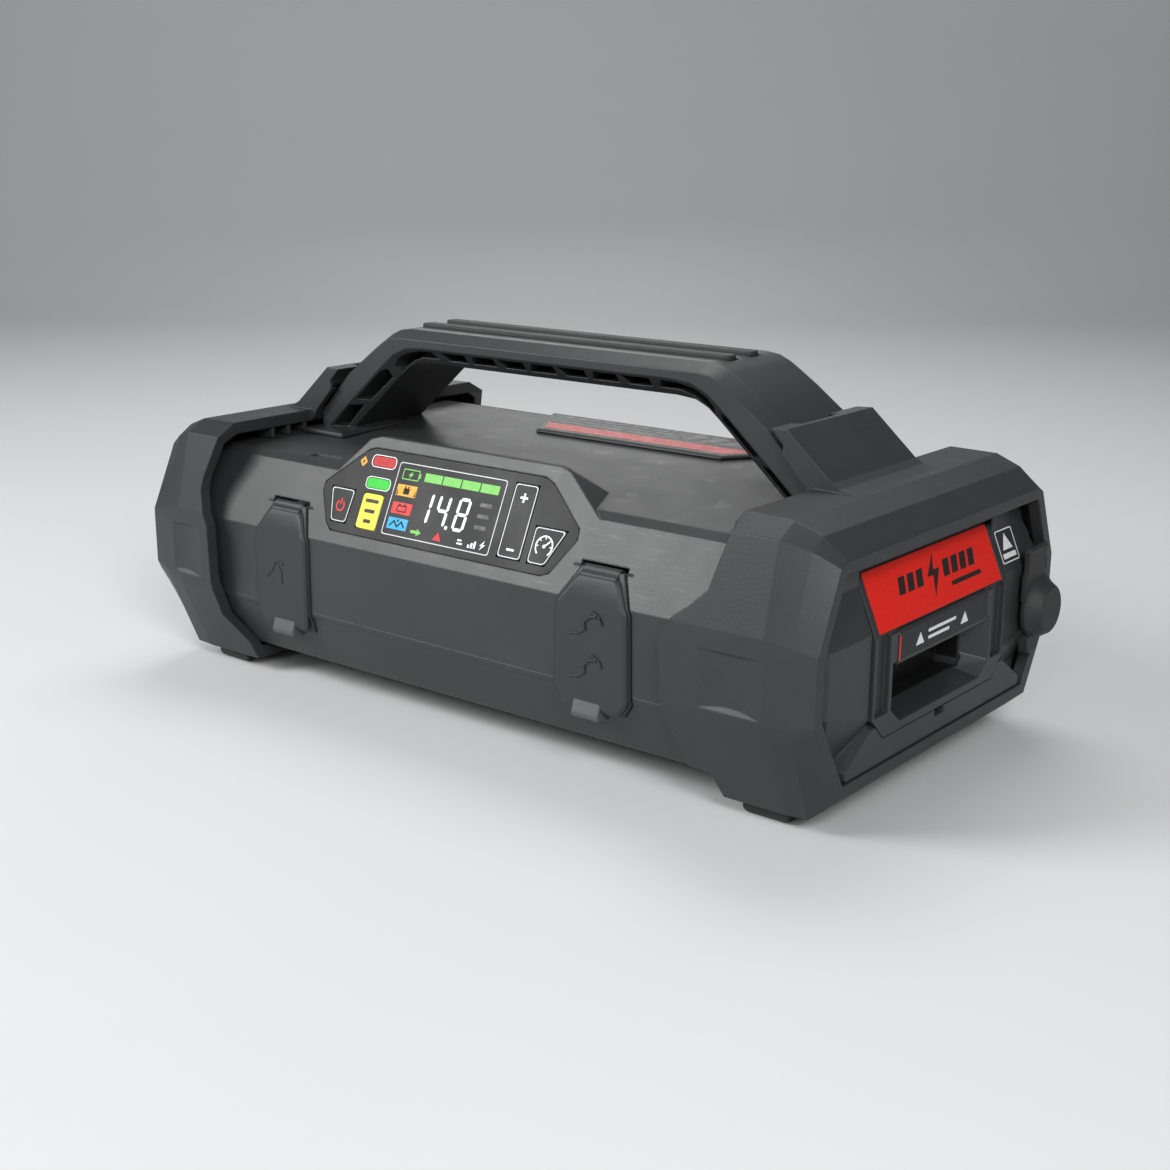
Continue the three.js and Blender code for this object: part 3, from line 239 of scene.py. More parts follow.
CASING = (0.027, 0.028, 0.0294)
BUMPER = (0.024, 0.0249, 0.0262)
MAT = {
    "casing": moulded("casing", CASING, rough=0.42, grain=0.55, edge_wear_and_highlight=0.5),
    "handle": moulded("handle", scaled(CASING, 0.92), rough=0.42, grain=0.5, edge_wear_and_highlight=0.5),
    "bumper": moulded("bumper", BUMPER, rough=0.46, grain=0.8, grain_scale=1200, edge_wear_and_highlight=0.55),
    "rubber": moulded("rubber", (0.02, 0.0207, 0.0215), rough=0.58, grain=0.7, grain_scale=1900, edge_wear_and_highlight=0.25),
    "cover": moulded("cover", scaled(CASING, 0.86), rough=0.5, grain=0.5, grain_scale=1700, edge_wear_and_highlight=0.4),
    "dark": moulded("dark_plastic", (0.012, 0.0123, 0.013), rough=0.45, grain=0.4, edge_wear_and_highlight=0.35),
    "black": moulded("black_plastic", (0.007, 0.0072, 0.0078), rough=0.38, grain=0.3, edge_wear_and_highlight=0.2),
    "nylon": moulded("nylon", (0.62, 0.58, 0.47), rough=0.45, grain=0.3, edge_wear_and_highlight=0.1),
    "board": glossy("board", (0.012, 0.085, 0.035), rough=0.3, coat=0.3),
    "cell": glossy("cell", (0.03, 0.11, 0.38), rough=0.28, coat=0.2),
    "window": glossy("window", (0.014, 0.0144, 0.015), rough=0.4, coat=0.0, specular=0.2),
    "lcd": glossy("lcd", (0.004, 0.0042, 0.0048), rough=0.42, coat=0.0, specular=0.16),
    "trim": moulded("trim", (0.07, 0.072, 0.074), rough=0.4, grain=0.2, edge_wear_and_highlight=0.4),
    "ring_pad": printed("ring_pad", (0.02, 0.021, 0.022), rough=0.42),
    "tab": moulded("tab", (0.07, 0.072, 0.074), rough=0.5, grain=0.4, edge_wear_and_highlight=0.3),
    "steel": metal("steel", (0.58, 0.59, 0.6), 0.28),
    "aluminium": metal("aluminium", (0.68, 0.69, 0.7), 0.4, brush=(6, 6, 6)),
    "red": printed("label_red", (0.7, 0.02, 0.012), rough=0.34),
    "label_black": printed("label_black", (0.018, 0.0185, 0.02), rough=0.36),
    "ink_black": printed("ink_black", (0.02, 0.016, 0.016), rough=0.4),
    "ink_white": printed("ink_white", (0.72, 0.73, 0.74), rough=0.4),
    "ink_grey": printed("ink_grey", (0.2, 0.2, 0.205), rough=0.4),
    "ink_ghost": printed("ink_ghost", (0.03, 0.03, 0.032), rough=0.3),
    "lit_white": printed("lit_white", (0.8, 0.82, 0.84), glow=0.55),
    "line_white": printed("line_white", (0.62, 0.64, 0.66), glow=0.12),
    "lit_green": printed("lit_green", (0.14, 0.4, 0.08), glow=0.24, glow_color=(0.13, 0.75, 0.03)),
    "lit_red": printed("lit_red", (0.6, 0.015, 0.012), glow=0.26, glow_color=(0.85, 0.02, 0.015)),
    "lit_orange": printed("lit_orange", (0.72, 0.3, 0.02), glow=0.25, glow_color=(0.85, 0.36, 0.02)),
    "lit_blue": printed("lit_blue", (0.01, 0.3, 0.62), glow=0.28, glow_color=(0.01, 0.36, 0.75)),
    "lamp_red": printed("lamp_red", (0.36, 0.03, 0.03), rough=0.5, glow=0.16, glow_color=(1.0, 0.09, 0.08)),
    "lamp_green": printed("lamp_green", (0.03, 0.4, 0.04), rough=0.5, glow=0.24,
                          glow_color=(0.06, 0.95, 0.08)),
    "key_yellow": printed("key_yellow", (0.68, 0.64, 0.08), rough=0.5, glow=0.27,
                          glow_color=(0.95, 0.92, 0.14)),
}


def paint(obj, key):
    obj.data.materials.clear()
    obj.data.materials.append(MAT[key])


# ---------------------------------------------------------------- CAD nodes: edges and finish
FINISH = {
    "upper_shell": ("casing", 0.9), "lower_shell": ("casing", 0.9), "right_bumper": ("bumper", 0.8),
    "left_bumper": ("bumper", 0.8), "right_end_panel": ("casing", 0.9), "left_end_panel": ("casing", 0.8),
    "handle_frame": ("handle", 1.0), "grip_strip_front": ("rubber", 0.7), "grip_strip_back": ("rubber", 0.7),
    "top_label": ("trim", 0.2), "display_window": ("window", 0), "lcd_module": ("lcd", 0),
    "display_board": ("board", 0), "red_indicator": ("lamp_red", 0), "green_indicator": ("lamp_green", 0),
    "power_key": ("window", 0), "unit_key": ("key_yellow", 0), "pump_key": ("window", 0),
    "adjust_rocker": ("window", 0), "left_port_cover": ("cover", 0.5), "right_port_cover": ("cover", 0.5),
    "left_cover_pin": ("dark", 0), "right_cover_pin": ("dark", 0), "left_port_tray": ("dark", 0.4),
    "right_port_tray": ("dark", 0.4), "clamp_socket": ("black", 0.5), "hose_port_upper": ("steel", 0.2),
    "hose_port_lower": ("steel", 0.2), "end_port_socket": ("black", 0.3), "end_port_cap": ("rubber", 0.6),
    "module_front": ("casing", 0.9), "module_label": ("red", 0), "module_case_top": ("dark", 0.8),
    "module_case_bottom": ("dark", 0.8), "cell_pack_front": ("cell", 0.8), "cell_pack_back": ("cell", 0.8),
    "module_board": ("board", 0), "pull_ring": ("casing", 0.5), "pull_ring_pin": ("steel", 0),
    "lock_bolt": ("nylon", 0.3), "bay_sleeve": ("dark", 0.5), "bay_contact_positive": ("aluminium", 0.3),
    "bay_contact_negative": ("aluminium", 0.3), "main_board": ("board", 0), "pump_frame": ("aluminium", 0.3),
    "pump_motor": ("steel", 0.4), "motor_rotor": ("steel", 0), "crank_gear": ("nylon", 0),
    "connecting_rod": ("aluminium", 0.3),
    "pump_cylinder": ("aluminium", 0.3), "pump_piston": ("aluminium", 0.3), "pump_head": ("aluminium", 0.3),
}
for number in range(1, 5):
    FINISH["case_screw_%d" % number] = ("steel", 0.2)
for end in ("front", "back"):
    for side in ("left", "right"):
        FINISH["foot_%s_%s" % (end, side)] = ("rubber", 0.8)

# Edges sharper than this many degrees are rounded; other nodes use DEFAULT_SHARP.
SHARP = {
    "right_bumper": 8, "left_bumper": 8, "right_end_panel": 12, "left_end_panel": 12, "upper_shell": 23,
    "lower_shell": 23, "handle_frame": 23, "module_front": 20, "left_port_cover": 30, "right_port_cover": 30,
}
DEFAULT_SHARP = 31
NORMAL_WEIGHT = 60


def soften(obj, width, limit):
    """Rounds the edges sharper than the limit (degrees), as modifiers."""
    weld = obj.modifiers.new("weld", "WELD")
    weld.merge_threshold = 0.00001
    flats = obj.modifiers.new("flats", "DECIMATE")
    flats.decimate_type, flats.angle_limit = "DISSOLVE", math.radians(0.25)
    if not width:
        return
    bevel = obj.modifiers.new("edges", "BEVEL")
    bevel.width, bevel.segments, bevel.limit_method = width * MM, 3, "ANGLE"
    bevel.angle_limit = math.radians(limit)
    weighted = obj.modifiers.new("normals", "WEIGHTED_NORMAL")
    weighted.weight = NORMAL_WEIGHT
    for face in obj.data.polygons:
        face.use_smooth = True


for node_name, (finish_key, edge_width) in FINISH.items():
    cad = NODES[node_name]
    soften(cad, edge_width, SHARP.get(node_name, DEFAULT_SHARP))
    paint(cad, finish_key)


# ---------------------------------------------------------------- flat graphics
class Plane:
    """A plane that graphics lie on: origin, two directions and the outward normal, in metres."""

    def __init__(self, origin, u, v):
        self.origin, self.u, self.v = Vector(origin), Vector(u).normalized(), Vector(v).normalized()
        self.n = self.u.cross(self.v).normalized()

    def at(self, u, v, h=0.0):
        return self.origin + (self.u * u + self.v * v + self.n * h) * MM


press = Vector(JOINTS["power_key_press"]["axis"])
up_facet = Vector((1, 0, 0)).cross(press) * -1
if up_facet.z < 0:
    up_facet = -up_facet
rocker_place = Vector(JOINTS["adjust_rocker_tilt"]["pos_m"])
facet_origin = rocker_place - up_facet * 23.5 * MM - press * 4 * MM
facet_origin.x = 0
FACET = Plane(facet_origin, (1, 0, 0), up_facet)


def inset(points, d):
    """Moves each edge of a convex outline inwards by d."""
    area = sum(p[0] * q[1] - q[0] * p[1] for p, q in zip(points, points[1:] + points[:1]))
    sign = 1 if area > 0 else -1
    count, moved = len(points), []
    lines = []
    for i in range(count):
        (x0, y0), (x1, y1) = points[i], points[(i + 1) % count]
        length = math.hypot(x1 - x0, y1 - y0)
        nx, ny = sign * (y1 - y0) / length, -sign * (x1 - x0) / length
        lines.append((nx, ny, nx * x0 + ny * y0 - d))
    for i in range(count):
        (a, b, c), (p, q, r) = lines[i - 1], lines[i]
        det = a * q - p * b
        moved.append(((c * q - r * b) / det, (a * r - p * c) / det))
    return moved


def rounded(points, radius, steps=5):
    out = []
    for i, corner in enumerate(points):
        before, after = points[i - 1], points[(i + 1) % len(points)]
        ends = []
        for end in (before, after):
            length = math.hypot(end[0] - corner[0], end[1] - corner[1])
            part = min(radius, length * 0.45) / length
            ends.append((corner[0] + (end[0] - corner[0]) * part, corner[1] + (end[1] - corner[1]) * part))
        for step in range(steps + 1):
            t = step / steps
            w0, w1, w2 = (1 - t) ** 2, 2 * t * (1 - t), t * t
            out.append(tuple(ends[0][k] * w0 + corner[k] * w1 + ends[1][k] * w2 for k in (0, 1)))
    return out


def box2(u0, v0, u1, v1, r=0.0):
    points = [(u0, v0), (u1, v0), (u1, v1), (u0, v1)]
    return rounded(points, r) if r else points


def circle(u, v, r, count=24):
    angles = [2 * math.pi * i / count for i in range(count)]
    return [(u + r * math.cos(t), v + r * math.sin(t)) for t in angles]


def mesh_object(name, bm, key):
    """Turns a bmesh into a linked object with a material."""
    mesh = bpy.data.meshes.new(name)
    bm.to_mesh(mesh)
    bm.free()
    obj = bpy.data.objects.new(name, mesh)
    bpy.context.scene.collection.objects.link(obj)
    obj.data.materials.append(MAT[key])
    return obj


def smooth(obj):
    for face in obj.data.polygons:
        face.use_smooth = True


class Graphic:
    """Thin solid shapes on a plane, gathered into one mesh."""

    def __init__(self, name, plane, body, key, low=0.0, high=0.06, slot=None):
        self.name, self.plane, self.body, self.key, self.slot = name, plane, body, key, slot
        self.low, self.high = low, high
        self.bm = bmesh.new()

    def fill(self, points):
        low = [self.bm.verts.new(self.plane.at(u, v, self.low)) for u, v in points]
        high = [self.bm.verts.new(self.plane.at(u, v, self.high)) for u, v in points]
        self.bm.faces.new(high)
        self.bm.faces.new(low[::-1])
        for i in range(len(points)):
            j = (i + 1) % len(points)
            self.bm.faces.new((low[i], low[j], high[j], high[i]))
        return self

    def ring(self, outer, inner):
        edges = ((outer, self.low), (outer, self.high), (inner, self.high), (inner, self.low))
        loops = [[self.bm.verts.new(self.plane.at(u, v, h)) for u, v in line] for line, h in edges]
        for i in range(len(outer)):
            j = (i + 1) % len(outer)
            for a in range(4):
                b = (a + 1) % 4
                self.bm.faces.new((loops[a][i], loops[a][j], loops[b][j], loops[b][i]))
        return self

    def frame(self, points, width, radius):
        inner = rounded(inset(points, width), max(radius - width * 0.5, 0.2))
        return self.ring(rounded(points, radius), inner)

    def stroke(self, points, width):
        """Open line with mitred bends and square ends."""
        left, right = [], []
        for i, p in enumerate(points):
            a, b = points[max(i - 1, 0)], points[min(i + 1, len(points) - 1)]
            ins = [(q[0] - o[0], q[1] - o[1]) for o, q in ((a, p), (p, b)) if q != o]
            units = [(x / math.hypot(x, y), y / math.hypot(x, y)) for x, y in ins]
            tx, ty = sum(x for x, _ in units), sum(y for _, y in units)
            length = math.hypot(tx, ty)
            tx, ty = tx / length, ty / length
            cosine = max(0.35, tx * units[0][0] + ty * units[0][1])
            reach = width / 2 / cosine
            left.append((p[0] - ty * reach, p[1] + tx * reach))
            right.append((p[0] + ty * reach, p[1] - tx * reach))
        return self.fill(left + right[::-1])

    def arc(self, u, v, r, width, start, end, count=20):
        angles = [math.radians(start + (end - start) * i / count) for i in range(count + 1)]
        return self.stroke([(u + r * math.cos(t), v + r * math.sin(t)) for t in angles], width)

    def done(self):
        bmesh.ops.recalc_face_normals(self.bm, faces=self.bm.faces)
        obj = mesh_object(self.name, self.bm, self.key)
        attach(obj, self.body)
        return obj


# ---- display: outlines of the keys and the screen
POWER_KEY = [(-67.4, 9.2), (-58.7, 9.2), (-57.9, 23.4), (-71.5, 23.4)]
PUMP_KEY = [(38.2, 9.0), (46.7, 9.0), (53.4, 23.3), (38.2, 23.3)]
ROCKER = [(23.3, 9.0), (34.8, 9.0), (34.8, 38.0), (23.3, 38.0)]
LCD = [(-37.5, 8.7), (18.7, 8.7), (18.7, 37.7), (-37.5, 37.7)]

LINE = 0.34
SCREEN_LAYER = (-0.1, -0.04)    # printed layer just over the screen
Graphic("power_key_outline", FACET, "power_key", "line_white").frame(inset(POWER_KEY, 0.3), LINE, 1.6).done()
Graphic("pump_key_outline", FACET, "pump_key", "line_white").frame(inset(PUMP_KEY, 0.3), LINE, 1.6).done()
Graphic("rocker_outline", FACET, "adjust_rocker", "line_white").frame(inset(ROCKER, 0.3), LINE, 1.4).done()
outline = Graphic("screen_outline", FACET, "housing", "line_white", *SCREEN_LAYER)
outline.frame(inset(LCD, -0.4), LINE, 1.4).done()

icon = Graphic("power_icon", FACET, "power_key", "lit_red")
icon.arc(-64.0, 16.0, 2.1, 0.6, 122, 418, 26).stroke([(-64.0, 16.4), (-64.0, 19.2)], 0.6).done()

icon = Graphic("unit_key_marks", FACET, "unit_key", "ink_black")
for row, width in ((20.2, 7.2), (16.0, 5.6), (11.8, 4.0)):
    icon.fill(box2(-47.2 - width / 2, row - 0.75, -47.2 + width / 2, row + 0.75, 0.5))
icon.done()

icon = Graphic("pump_icon", FACET, "pump_key", "lit_white")
icon.arc(44.4, 16.2, 3.9, 0.55, -50, 230, 26).stroke([(44.4, 16.2), (46.6, 18.2)], 0.55)
icon.fill(circle(44.4, 16.2, 0.7, 12))
for angle in (180, 135, 90, 45, 0):
    t = math.radians(angle)
    icon.stroke([(44.4 + r * math.cos(t), 16.2 + r * math.sin(t)) for r in (2.7, 3.5)], 0.35)
icon.done()

icon = Graphic("rocker_signs", FACET, "adjust_rocker", "lit_white")
icon.fill([(27.2, 32.2), (28.6, 32.2), (28.6, 30.8), (29.4, 30.8), (29.4, 32.2), (30.8, 32.2), (30.8, 33.0),
           (29.4, 33.0), (29.4, 34.4), (28.6, 34.4), (28.6, 33.0), (27.2, 33.0)])
icon.fill(box2(27.3, 12.0, 30.9, 12.8)).done()

# ---- screen: bars, digits and small symbols, all generic
ON_GLASS = dict(zip(("low", "high"), SCREEN_LAYER))
bars = Graphic("charge_bars", FACET, "housing", "lit_green", **ON_GLASS)
for i in range(4):
    u = -22.9 + i * 9.9
    bars.fill(box2(u, 31.8, u + 9.3, 35.3))
bars.frame([(-35.0, 31.3), (-26.0, 31.3), (-26.0, 35.7), (-35.0, 35.7)], 0.4, 0.5)
bars.fill(box2(-25.9, 32.6, -25.2, 34.4))
bars.fill([(-29.6, 35.0), (-31.9, 33.2), (-30.7, 33.2), (-31.5, 31.9), (-29.1, 33.8), (-30.3, 33.8)])
bars.done()


def badge(name, key, v0, mark):
    """Filled trapezoid with a dark symbol on it."""
    g = Graphic(name, FACET, "housing", key, **ON_GLASS)
    g.fill([(-35.9, v0), (-25.3, v0), (-25.3, v0 + 4.6), (-35.9, v0 + 4.6)]).done()
    dark = Graphic(name + "_mark", FACET, "housing", "lcd", -0.04, 0.0)
    mark(dark, -30.6, v0 + 2.3)
    dark.done()


def mark_plug(g, u, v):
    g.fill(box2(u - 1.6, v - 1.5, u + 1.6, v + 1.0, 0.5)).fill(box2(u - 1.1, v + 1.0, u - 0.5, v + 1.9))
    g.fill(box2(u + 0.5, v + 1.0, u + 1.1, v + 1.9))
    g.fill([(u - 5.0, v - 2.0), (u - 4.2, v - 2.0), (u - 5.0, v + 0.6)])
    g.fill([(u + 4.2, v - 2.0), (u + 5.0, v - 2.0), (u + 5.0, v + 0.6)])


def mark_cell(g, u, v):
    g.frame([(u - 2.6, v - 1.5), (u + 2.6, v - 1.5), (u + 2.6, v + 1.2), (u - 2.6, v + 1.2)], 0.5, 0.3)
    g.fill(box2(u - 1.9, v + 1.2, u - 0.9, v + 1.8)).fill(box2(u + 0.9, v + 1.2, u + 1.9, v + 1.8))


def mark_wave(g, u, v):
    zigzag = [(u + 2.0 * i, v - 1.2 if i % 2 == 0 else v + 1.0) for i in range(-2, 3)]
    g.stroke(zigzag, 0.7)
    g.fill(circle(u, v + 1.3, 0.55, 10))


badge("badge_plug", "lit_orange", 24.6, mark_plug)
badge("badge_cell", "lit_red", 17.3, mark_cell)
badge("badge_wave", "lit_blue", 11.0, mark_wave)

SEGMENTS = {"1": "bc", "4": "fgbc", "8": "abcdefg"}
DIGIT_HIGH, DIGIT_WIDE, SEGMENT = 13.4, 6.2, 1.25
SLANT = 0.06


def digit(graphic, text, u0, v0):
    """Seven-segment digit with slightly gapped, mitred bars."""
    w, h, t, gap = DIGIT_WIDE, DIGIT_HIGH, SEGMENT, 0.18
    mid = h / 2

    half = t / 2

    def flat(v):
        return [(gap + half, v), (gap + t, v + half), (w - gap - t, v + half), (w - gap - half, v),
                (w - gap - t, v - half), (gap + t, v - half)]

    def tall(u, low, high):
        return [(u, low + gap), (u + half, low + gap + half), (u + half, high - gap - half), (u, high - gap),
                (u - half, high - gap - half), (u - half, low + gap + half)]

    shapes = {
        "a": flat(h - half), "g": flat(mid), "d": flat(half), "f": tall(half, mid, h - half),
        "b": tall(w - half, mid, h - half), "e": tall(half, half, mid), "c": tall(w - half, half, mid),
    }
    for s in SEGMENTS[text]:
        graphic.fill([(u0 + u + v * SLANT, v0 + v) for u, v in shapes[s]])


digits = Graphic("screen_digits", FACET, "housing", "lit_white", **ON_GLASS)
digit(digits, "1", -22.0, 15.0)
digit(digits, "4", -12.8, 15.0)
digits.fill(circle(-5.2, 15.6, 0.75, 14))
digit(digits, "8", -2.6, 15.0)
for i in range(3):
    digits.fill(box2(8.0 + i * 1.5, 9.9, 8.9 + i * 1.5, 11.1 + i * 0.8))
digits.fill([(15.9, 13.6), (13.9, 11.5), (15.1, 11.5), (14.2, 9.8), (16.6, 12.1), (15.4, 12.1)])
digits.fill(box2(2.4, 10.4, 5.2, 11.0))
digits.fill(box2(2.4, 11.7, 4.4, 12.3)).done()

ghost = Graphic("screen_ghosts", FACET, "housing", "ink_ghost", **ON_GLASS)
for v in (27.0, 22.6, 18.2):
    ghost.fill(box2(8.8, v - 0.8, 14.6, v + 0.8, 0.4))
ghost.done()

small = Graphic("arrow_out", FACET, "housing", "lit_green", **ON_GLASS)
small.fill([(-22.6, 10.9), (-19.4, 10.9), (-19.4, 10.0), (-17.0, 11.5), (-19.4, 13.0), (-19.4, 12.1),
            (-22.6, 12.1)]).done()
small = Graphic("fault_mark", FACET, "housing", "lit_red", **ON_GLASS)
small.fill([(-10.4, 10.0), (-6.0, 10.0), (-8.2, 13.2)]).done()
small = Graphic("alert_diamond", FACET, "housing", "lit_orange", **ON_GLASS)
small.fill([(-58.0, 33.4), (-56.0, 35.6), (-58.0, 37.8), (-60.0, 35.6)]).done()
small = Graphic("alert_mark", FACET, "housing", "lcd", -0.04, 0.0)
small.fill([(-57.6, 36.8), (-58.9, 35.3), (-58.1, 35.3), (-58.5, 34.3), (-57.1, 35.9), (-57.9, 35.9)]).done()
for lamp, outline in (("red", (-53.0, 34.7, -40.5, 38.7)), ("green", (-53.0, 25.6, -40.5, 29.6))):
    u0, v0, u1, v1 = outline
    edge = Graphic(lamp + "_lamp_rim", FACET, "housing", "lit_white", -0.1, 0.0)
    outer = box2(u0 - 0.6, v0 - 0.6, u1 + 0.6, v1 + 0.6, 2.5)
    inner = box2(u0 - 0.35, v0 - 0.35, u1 + 0.35, v1 + 0.35, 2.3)
    edge.ring(outer, inner).done()

# ---------------------------------------------------------------- port covers: raised rounded pads
COVER_FACE = -83.8
BEND = 68.3
LEAN = math.tan(math.radians(25))
LEFT_PAD = [(-101.8, 78.0), (-85.2, 78.0), (-82.6, 77.0), (-77.0, 66.4), (-77.6, 27.8), (-103.8, 27.8),
            (-108.5, 35.1), (-108.3, 66.3)]
RIGHT_PAD = [(64.6, 78.0), (81.4, 78.0), (83.2, 77.0), (89.6, 66.4), (90.0, 33.1), (85.8, 27.8), (60.7, 27.8),
             (56.1, 35.1), (56.8, 66.3)]


def cover_point(x, z, height):
    """Point over a cover's outer face, which leans back above the bend."""
    bend = BEND + (0.8 + height) * math.tan(math.radians(12.5))
    y = COVER_FACE - height + max(0.0, z - bend) * LEAN
    return Vector((x, y, z)) * MM


PAD_STEPS = [(0.0, -0.3), (0.0, 0.25), (0.15, 0.65), (0.5, 1.05), (1.05, 1.35), (1.8, 1.5)]


def cover_pad(name, outline, body):
    bm = bmesh.new()
    corners = rounded(outline, 2.2, 4)
    rings = []
    for step, height in PAD_STEPS:
        line = rounded(inset(outline, step), max(2.2 - step * 0.6, 0.8), 4)
        rings.append([bm.verts.new(cover_point(x, z, height)) for x, z in line])
    count = len(corners)
    for low, high in zip(rings, rings[1:]):
        for i in range(count):
            j = (i + 1) % count
            bm.faces.new((low[i], low[j], high[j], high[i]))
    bm.faces.new(rings[-1])
    bm.faces.new(rings[0][::-1])
    bend = (BEND + (0.8 + PAD_STEPS[-1][1]) * math.tan(math.radians(12.5))) * MM
    everything = bm.verts[:] + bm.edges[:] + bm.faces[:]
    bmesh.ops.bisect_plane(bm, geom=everything, plane_co=(0, 0, bend), plane_no=(0, 0, 1))
    bmesh.ops.recalc_face_normals(bm, faces=bm.faces)
    obj = mesh_object(name, bm, "cover")
    smooth(obj)
    weighted = obj.modifiers.new("normals", "WEIGHTED_NORMAL")
    weighted.weight = NORMAL_WEIGHT
    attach(obj, body)


cover_pad("left_cover_pad", LEFT_PAD, "left_cover")
cover_pad("right_cover_pad", RIGHT_PAD, "right_cover")


def wedge(name, body, key, rows, width, bevel=0.5):
    """Solid between two x from a closed side outline (y, z)."""
    bm = bmesh.new()
    x0, x1 = width
    ends = [[bm.verts.new(Vector((x, y, z)) * MM) for y, z in rows] for x in (x0, x1)]
    bm.faces.new(ends[0])
    bm.faces.new(ends[1][::-1])
    for i in range(len(rows)):
        j = (i + 1) % len(rows)
        bm.faces.new((ends[0][i], ends[0][j], ends[1][j], ends[1][i]))
    bmesh.ops.recalc_face_normals(bm, faces=bm.faces)
    obj = mesh_object(name, bm, key)
    smooth(obj)
    round_off = obj.modifiers.new("edges", "BEVEL")
    round_off.width, round_off.segments = bevel * MM, 3
    obj.modifiers.new("normals", "WEIGHTED_NORMAL")
    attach(obj, body)
    return obj


TAB = [(-84.6, 33.2), (-86.9, 26.6), (-86.4, 24.8), (-80.0, 24.4), (-81.0, 31.0)]
wedge("left_cover_tab", "left_cover", "tab", TAB, (-97.4, -84.8))
wedge("right_cover_tab", "right_cover", "tab", TAB, (65.8, 78.2))


def facet_side(points):
    """(distance up the facet, height off it) to (y, z)."""
    spots = [FACET.at(0, s_up, off) / MM for s_up, off in points]
    return [(spot.y, spot.z) for spot in spots]


# Within 2 mm of the hinge pin behind its crest, so that it clears the casing when a cover opens.
HOOD = facet_side([(8.6, 0.6), (8.6, 2.2), (9.9, 2.2), (11.0, 1.2), (11.9, 1.1), (12.6, 1.05), (13.4, 0.5),
                   (13.7, -0.1), (13.7, -1.1), (12.8, -2.0), (11.2, -1.5)])
wedge("left_cover_hood", "left_cover", "cover", HOOD, (-101.0, -84.2), 0.35)
wedge("right_cover_hood", "right_cover", "cover", HOOD, (65.4, 81.8), 0.35)

SEAM = [(-83.03, 36.6), (-83.03, 35.2), (-82.55, 33.9), (-82.3, 33.9), (-82.6, 35.2), (-82.6, 36.6)]
for i, ends in enumerate(((-134.0, -109.6), (-76.5, 55.1), (91.0, 109.6))):
    wedge("seam_strip_%d" % (i + 1), "housing", "casing", SEAM, ends, 0.01)

PAD_FACE = Plane((0, (COVER_FACE - PAD_STEPS[-1][1]) * MM, 0), (1, 0, 0), (0, 0, 1))
relief = dict(low=-0.2, high=0.28, slot="rubber")
emblem = Graphic("left_cover_emblem", PAD_FACE, "left_cover", "cover", **relief)
emblem.stroke([(-101, 48.5), (-97.5, 51.5), (-95.6, 55.2), (-92.6, 56.6), (-90.4, 55.0)], 0.8)
emblem.stroke([(-93.8, 54.6), (-91.8, 51.6), (-91.6, 47.0)], 0.8).done()
emblem = Graphic("right_cover_emblem", PAD_FACE, "right_cover", "cover", **relief)
for z in (56.0, 39.6):
    emblem.stroke([(64.0, z), (68.0, z + 0.6), (71.0, z + 2.6), (70.6, z + 5.2), (73.2, z + 7.6),
                   (77.0, z + 8.2)], 0.8)
    emblem.stroke([(74.0, z + 9.6), (77.4, z + 8.2), (78.6, z + 5.2)], 0.8)
emblem.done()

# ---------------------------------------------------------------- module label, pull ring, finger well
SLOPE = Plane((0.160, 0, 0.0875), (0, 1, 0), (-9.5, 0, 22.5))
red_art = Graphic("label_art", SLOPE, "jump_module", "ink_black", low=-0.1, high=-0.04, slot="label_black")
for u in (-27.0, -20.5, -14.0):
    red_art.fill([(u, -13.4), (u + 4.6, -13.4), (u + 6.6, -7.2), (u + 2.0, -7.2)])
for u in (6.0, 12.5, 19.0, 25.5):
    red_art.fill([(u, -13.4), (u + 4.6, -13.4), (u + 6.6, -7.2), (u + 2.0, -7.2)])
red_art.fill([(2.4, -3.6), (-5.4, -11.2), (-1.0, -11.2), (-3.6, -19.0), (4.4, -9.4), (0.0, -9.4)])
red_art.fill(box2(10.0, -17.6, 33.0, -15.9, 0.6)).done()

RING_FACE = Plane((0.1698, 0, 0), (0, 1, 0), (0, 0, 1))
pad = Graphic("ring_pad", RING_FACE, "pull_ring", "ring_pad", low=-0.05, high=0.03, slot="label_black")
pad.fill(box2(-33.2, 54.2, 33.6, 63.2, 0.6)).done()
pad = Graphic("ring_line", RING_FACE, "pull_ring", "red", low=-0.05, high=0.05, slot="label_red")
pad.fill(box2(-33.9, 54.0, -33.1, 63.2)).done()
pad = Graphic("ring_marks", RING_FACE, "pull_ring", "ink_white", low=0.03, high=0.08, slot="label_black")
for u in (-22.0, 12.0):
    pad.fill([(u, 56.6), (u + 6.0, 56.6), (u + 3.0, 61.0)])
pad.fill(box2(-13.0, 59.6, 8.0, 60.8, 0.4)).fill(box2(-13.0, 57.0, 3.0, 58.2, 0.4)).done()


def plate_box(bm, low, high):
    (x0, y0, z0), (x1, y1, z1) = low, high
    around = ((x0, y0), (x1, y0), (x1, y1), (x0, y1))
    verts = [bm.verts.new(Vector((x, y, z)) * MM) for z in (z0, z1) for x, y in around]
    for f in ((0, 3, 2, 1), (4, 5, 6, 7), (0, 1, 5, 4), (1, 2, 6, 5), (2, 3, 7, 6), (3, 0, 4, 7)):
        bm.faces.new([verts[i] for i in f])


# Black sheet lining the finger well: painted shade of the deep hole, which also stands for its darker inside.
bm = bmesh.new()
plate_box(bm, (150.1, -31.9, 34.1), (150.5, 31.9, 53.9))
plate_box(bm, (150.5, -31.9, 34.1), (159.8, -31.5, 53.9))
plate_box(bm, (150.5, 31.5, 34.1), (159.8, 31.9, 53.9))
plate_box(bm, (150.5, -31.5, 34.1), (159.8, 31.5, 34.4))
plate_box(bm, (150.5, -31.5, 53.6), (159.8, 31.5, 53.9))
well_shade = mesh_object("finger_well_shade", bm, "black")
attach(well_shade, "jump_module")

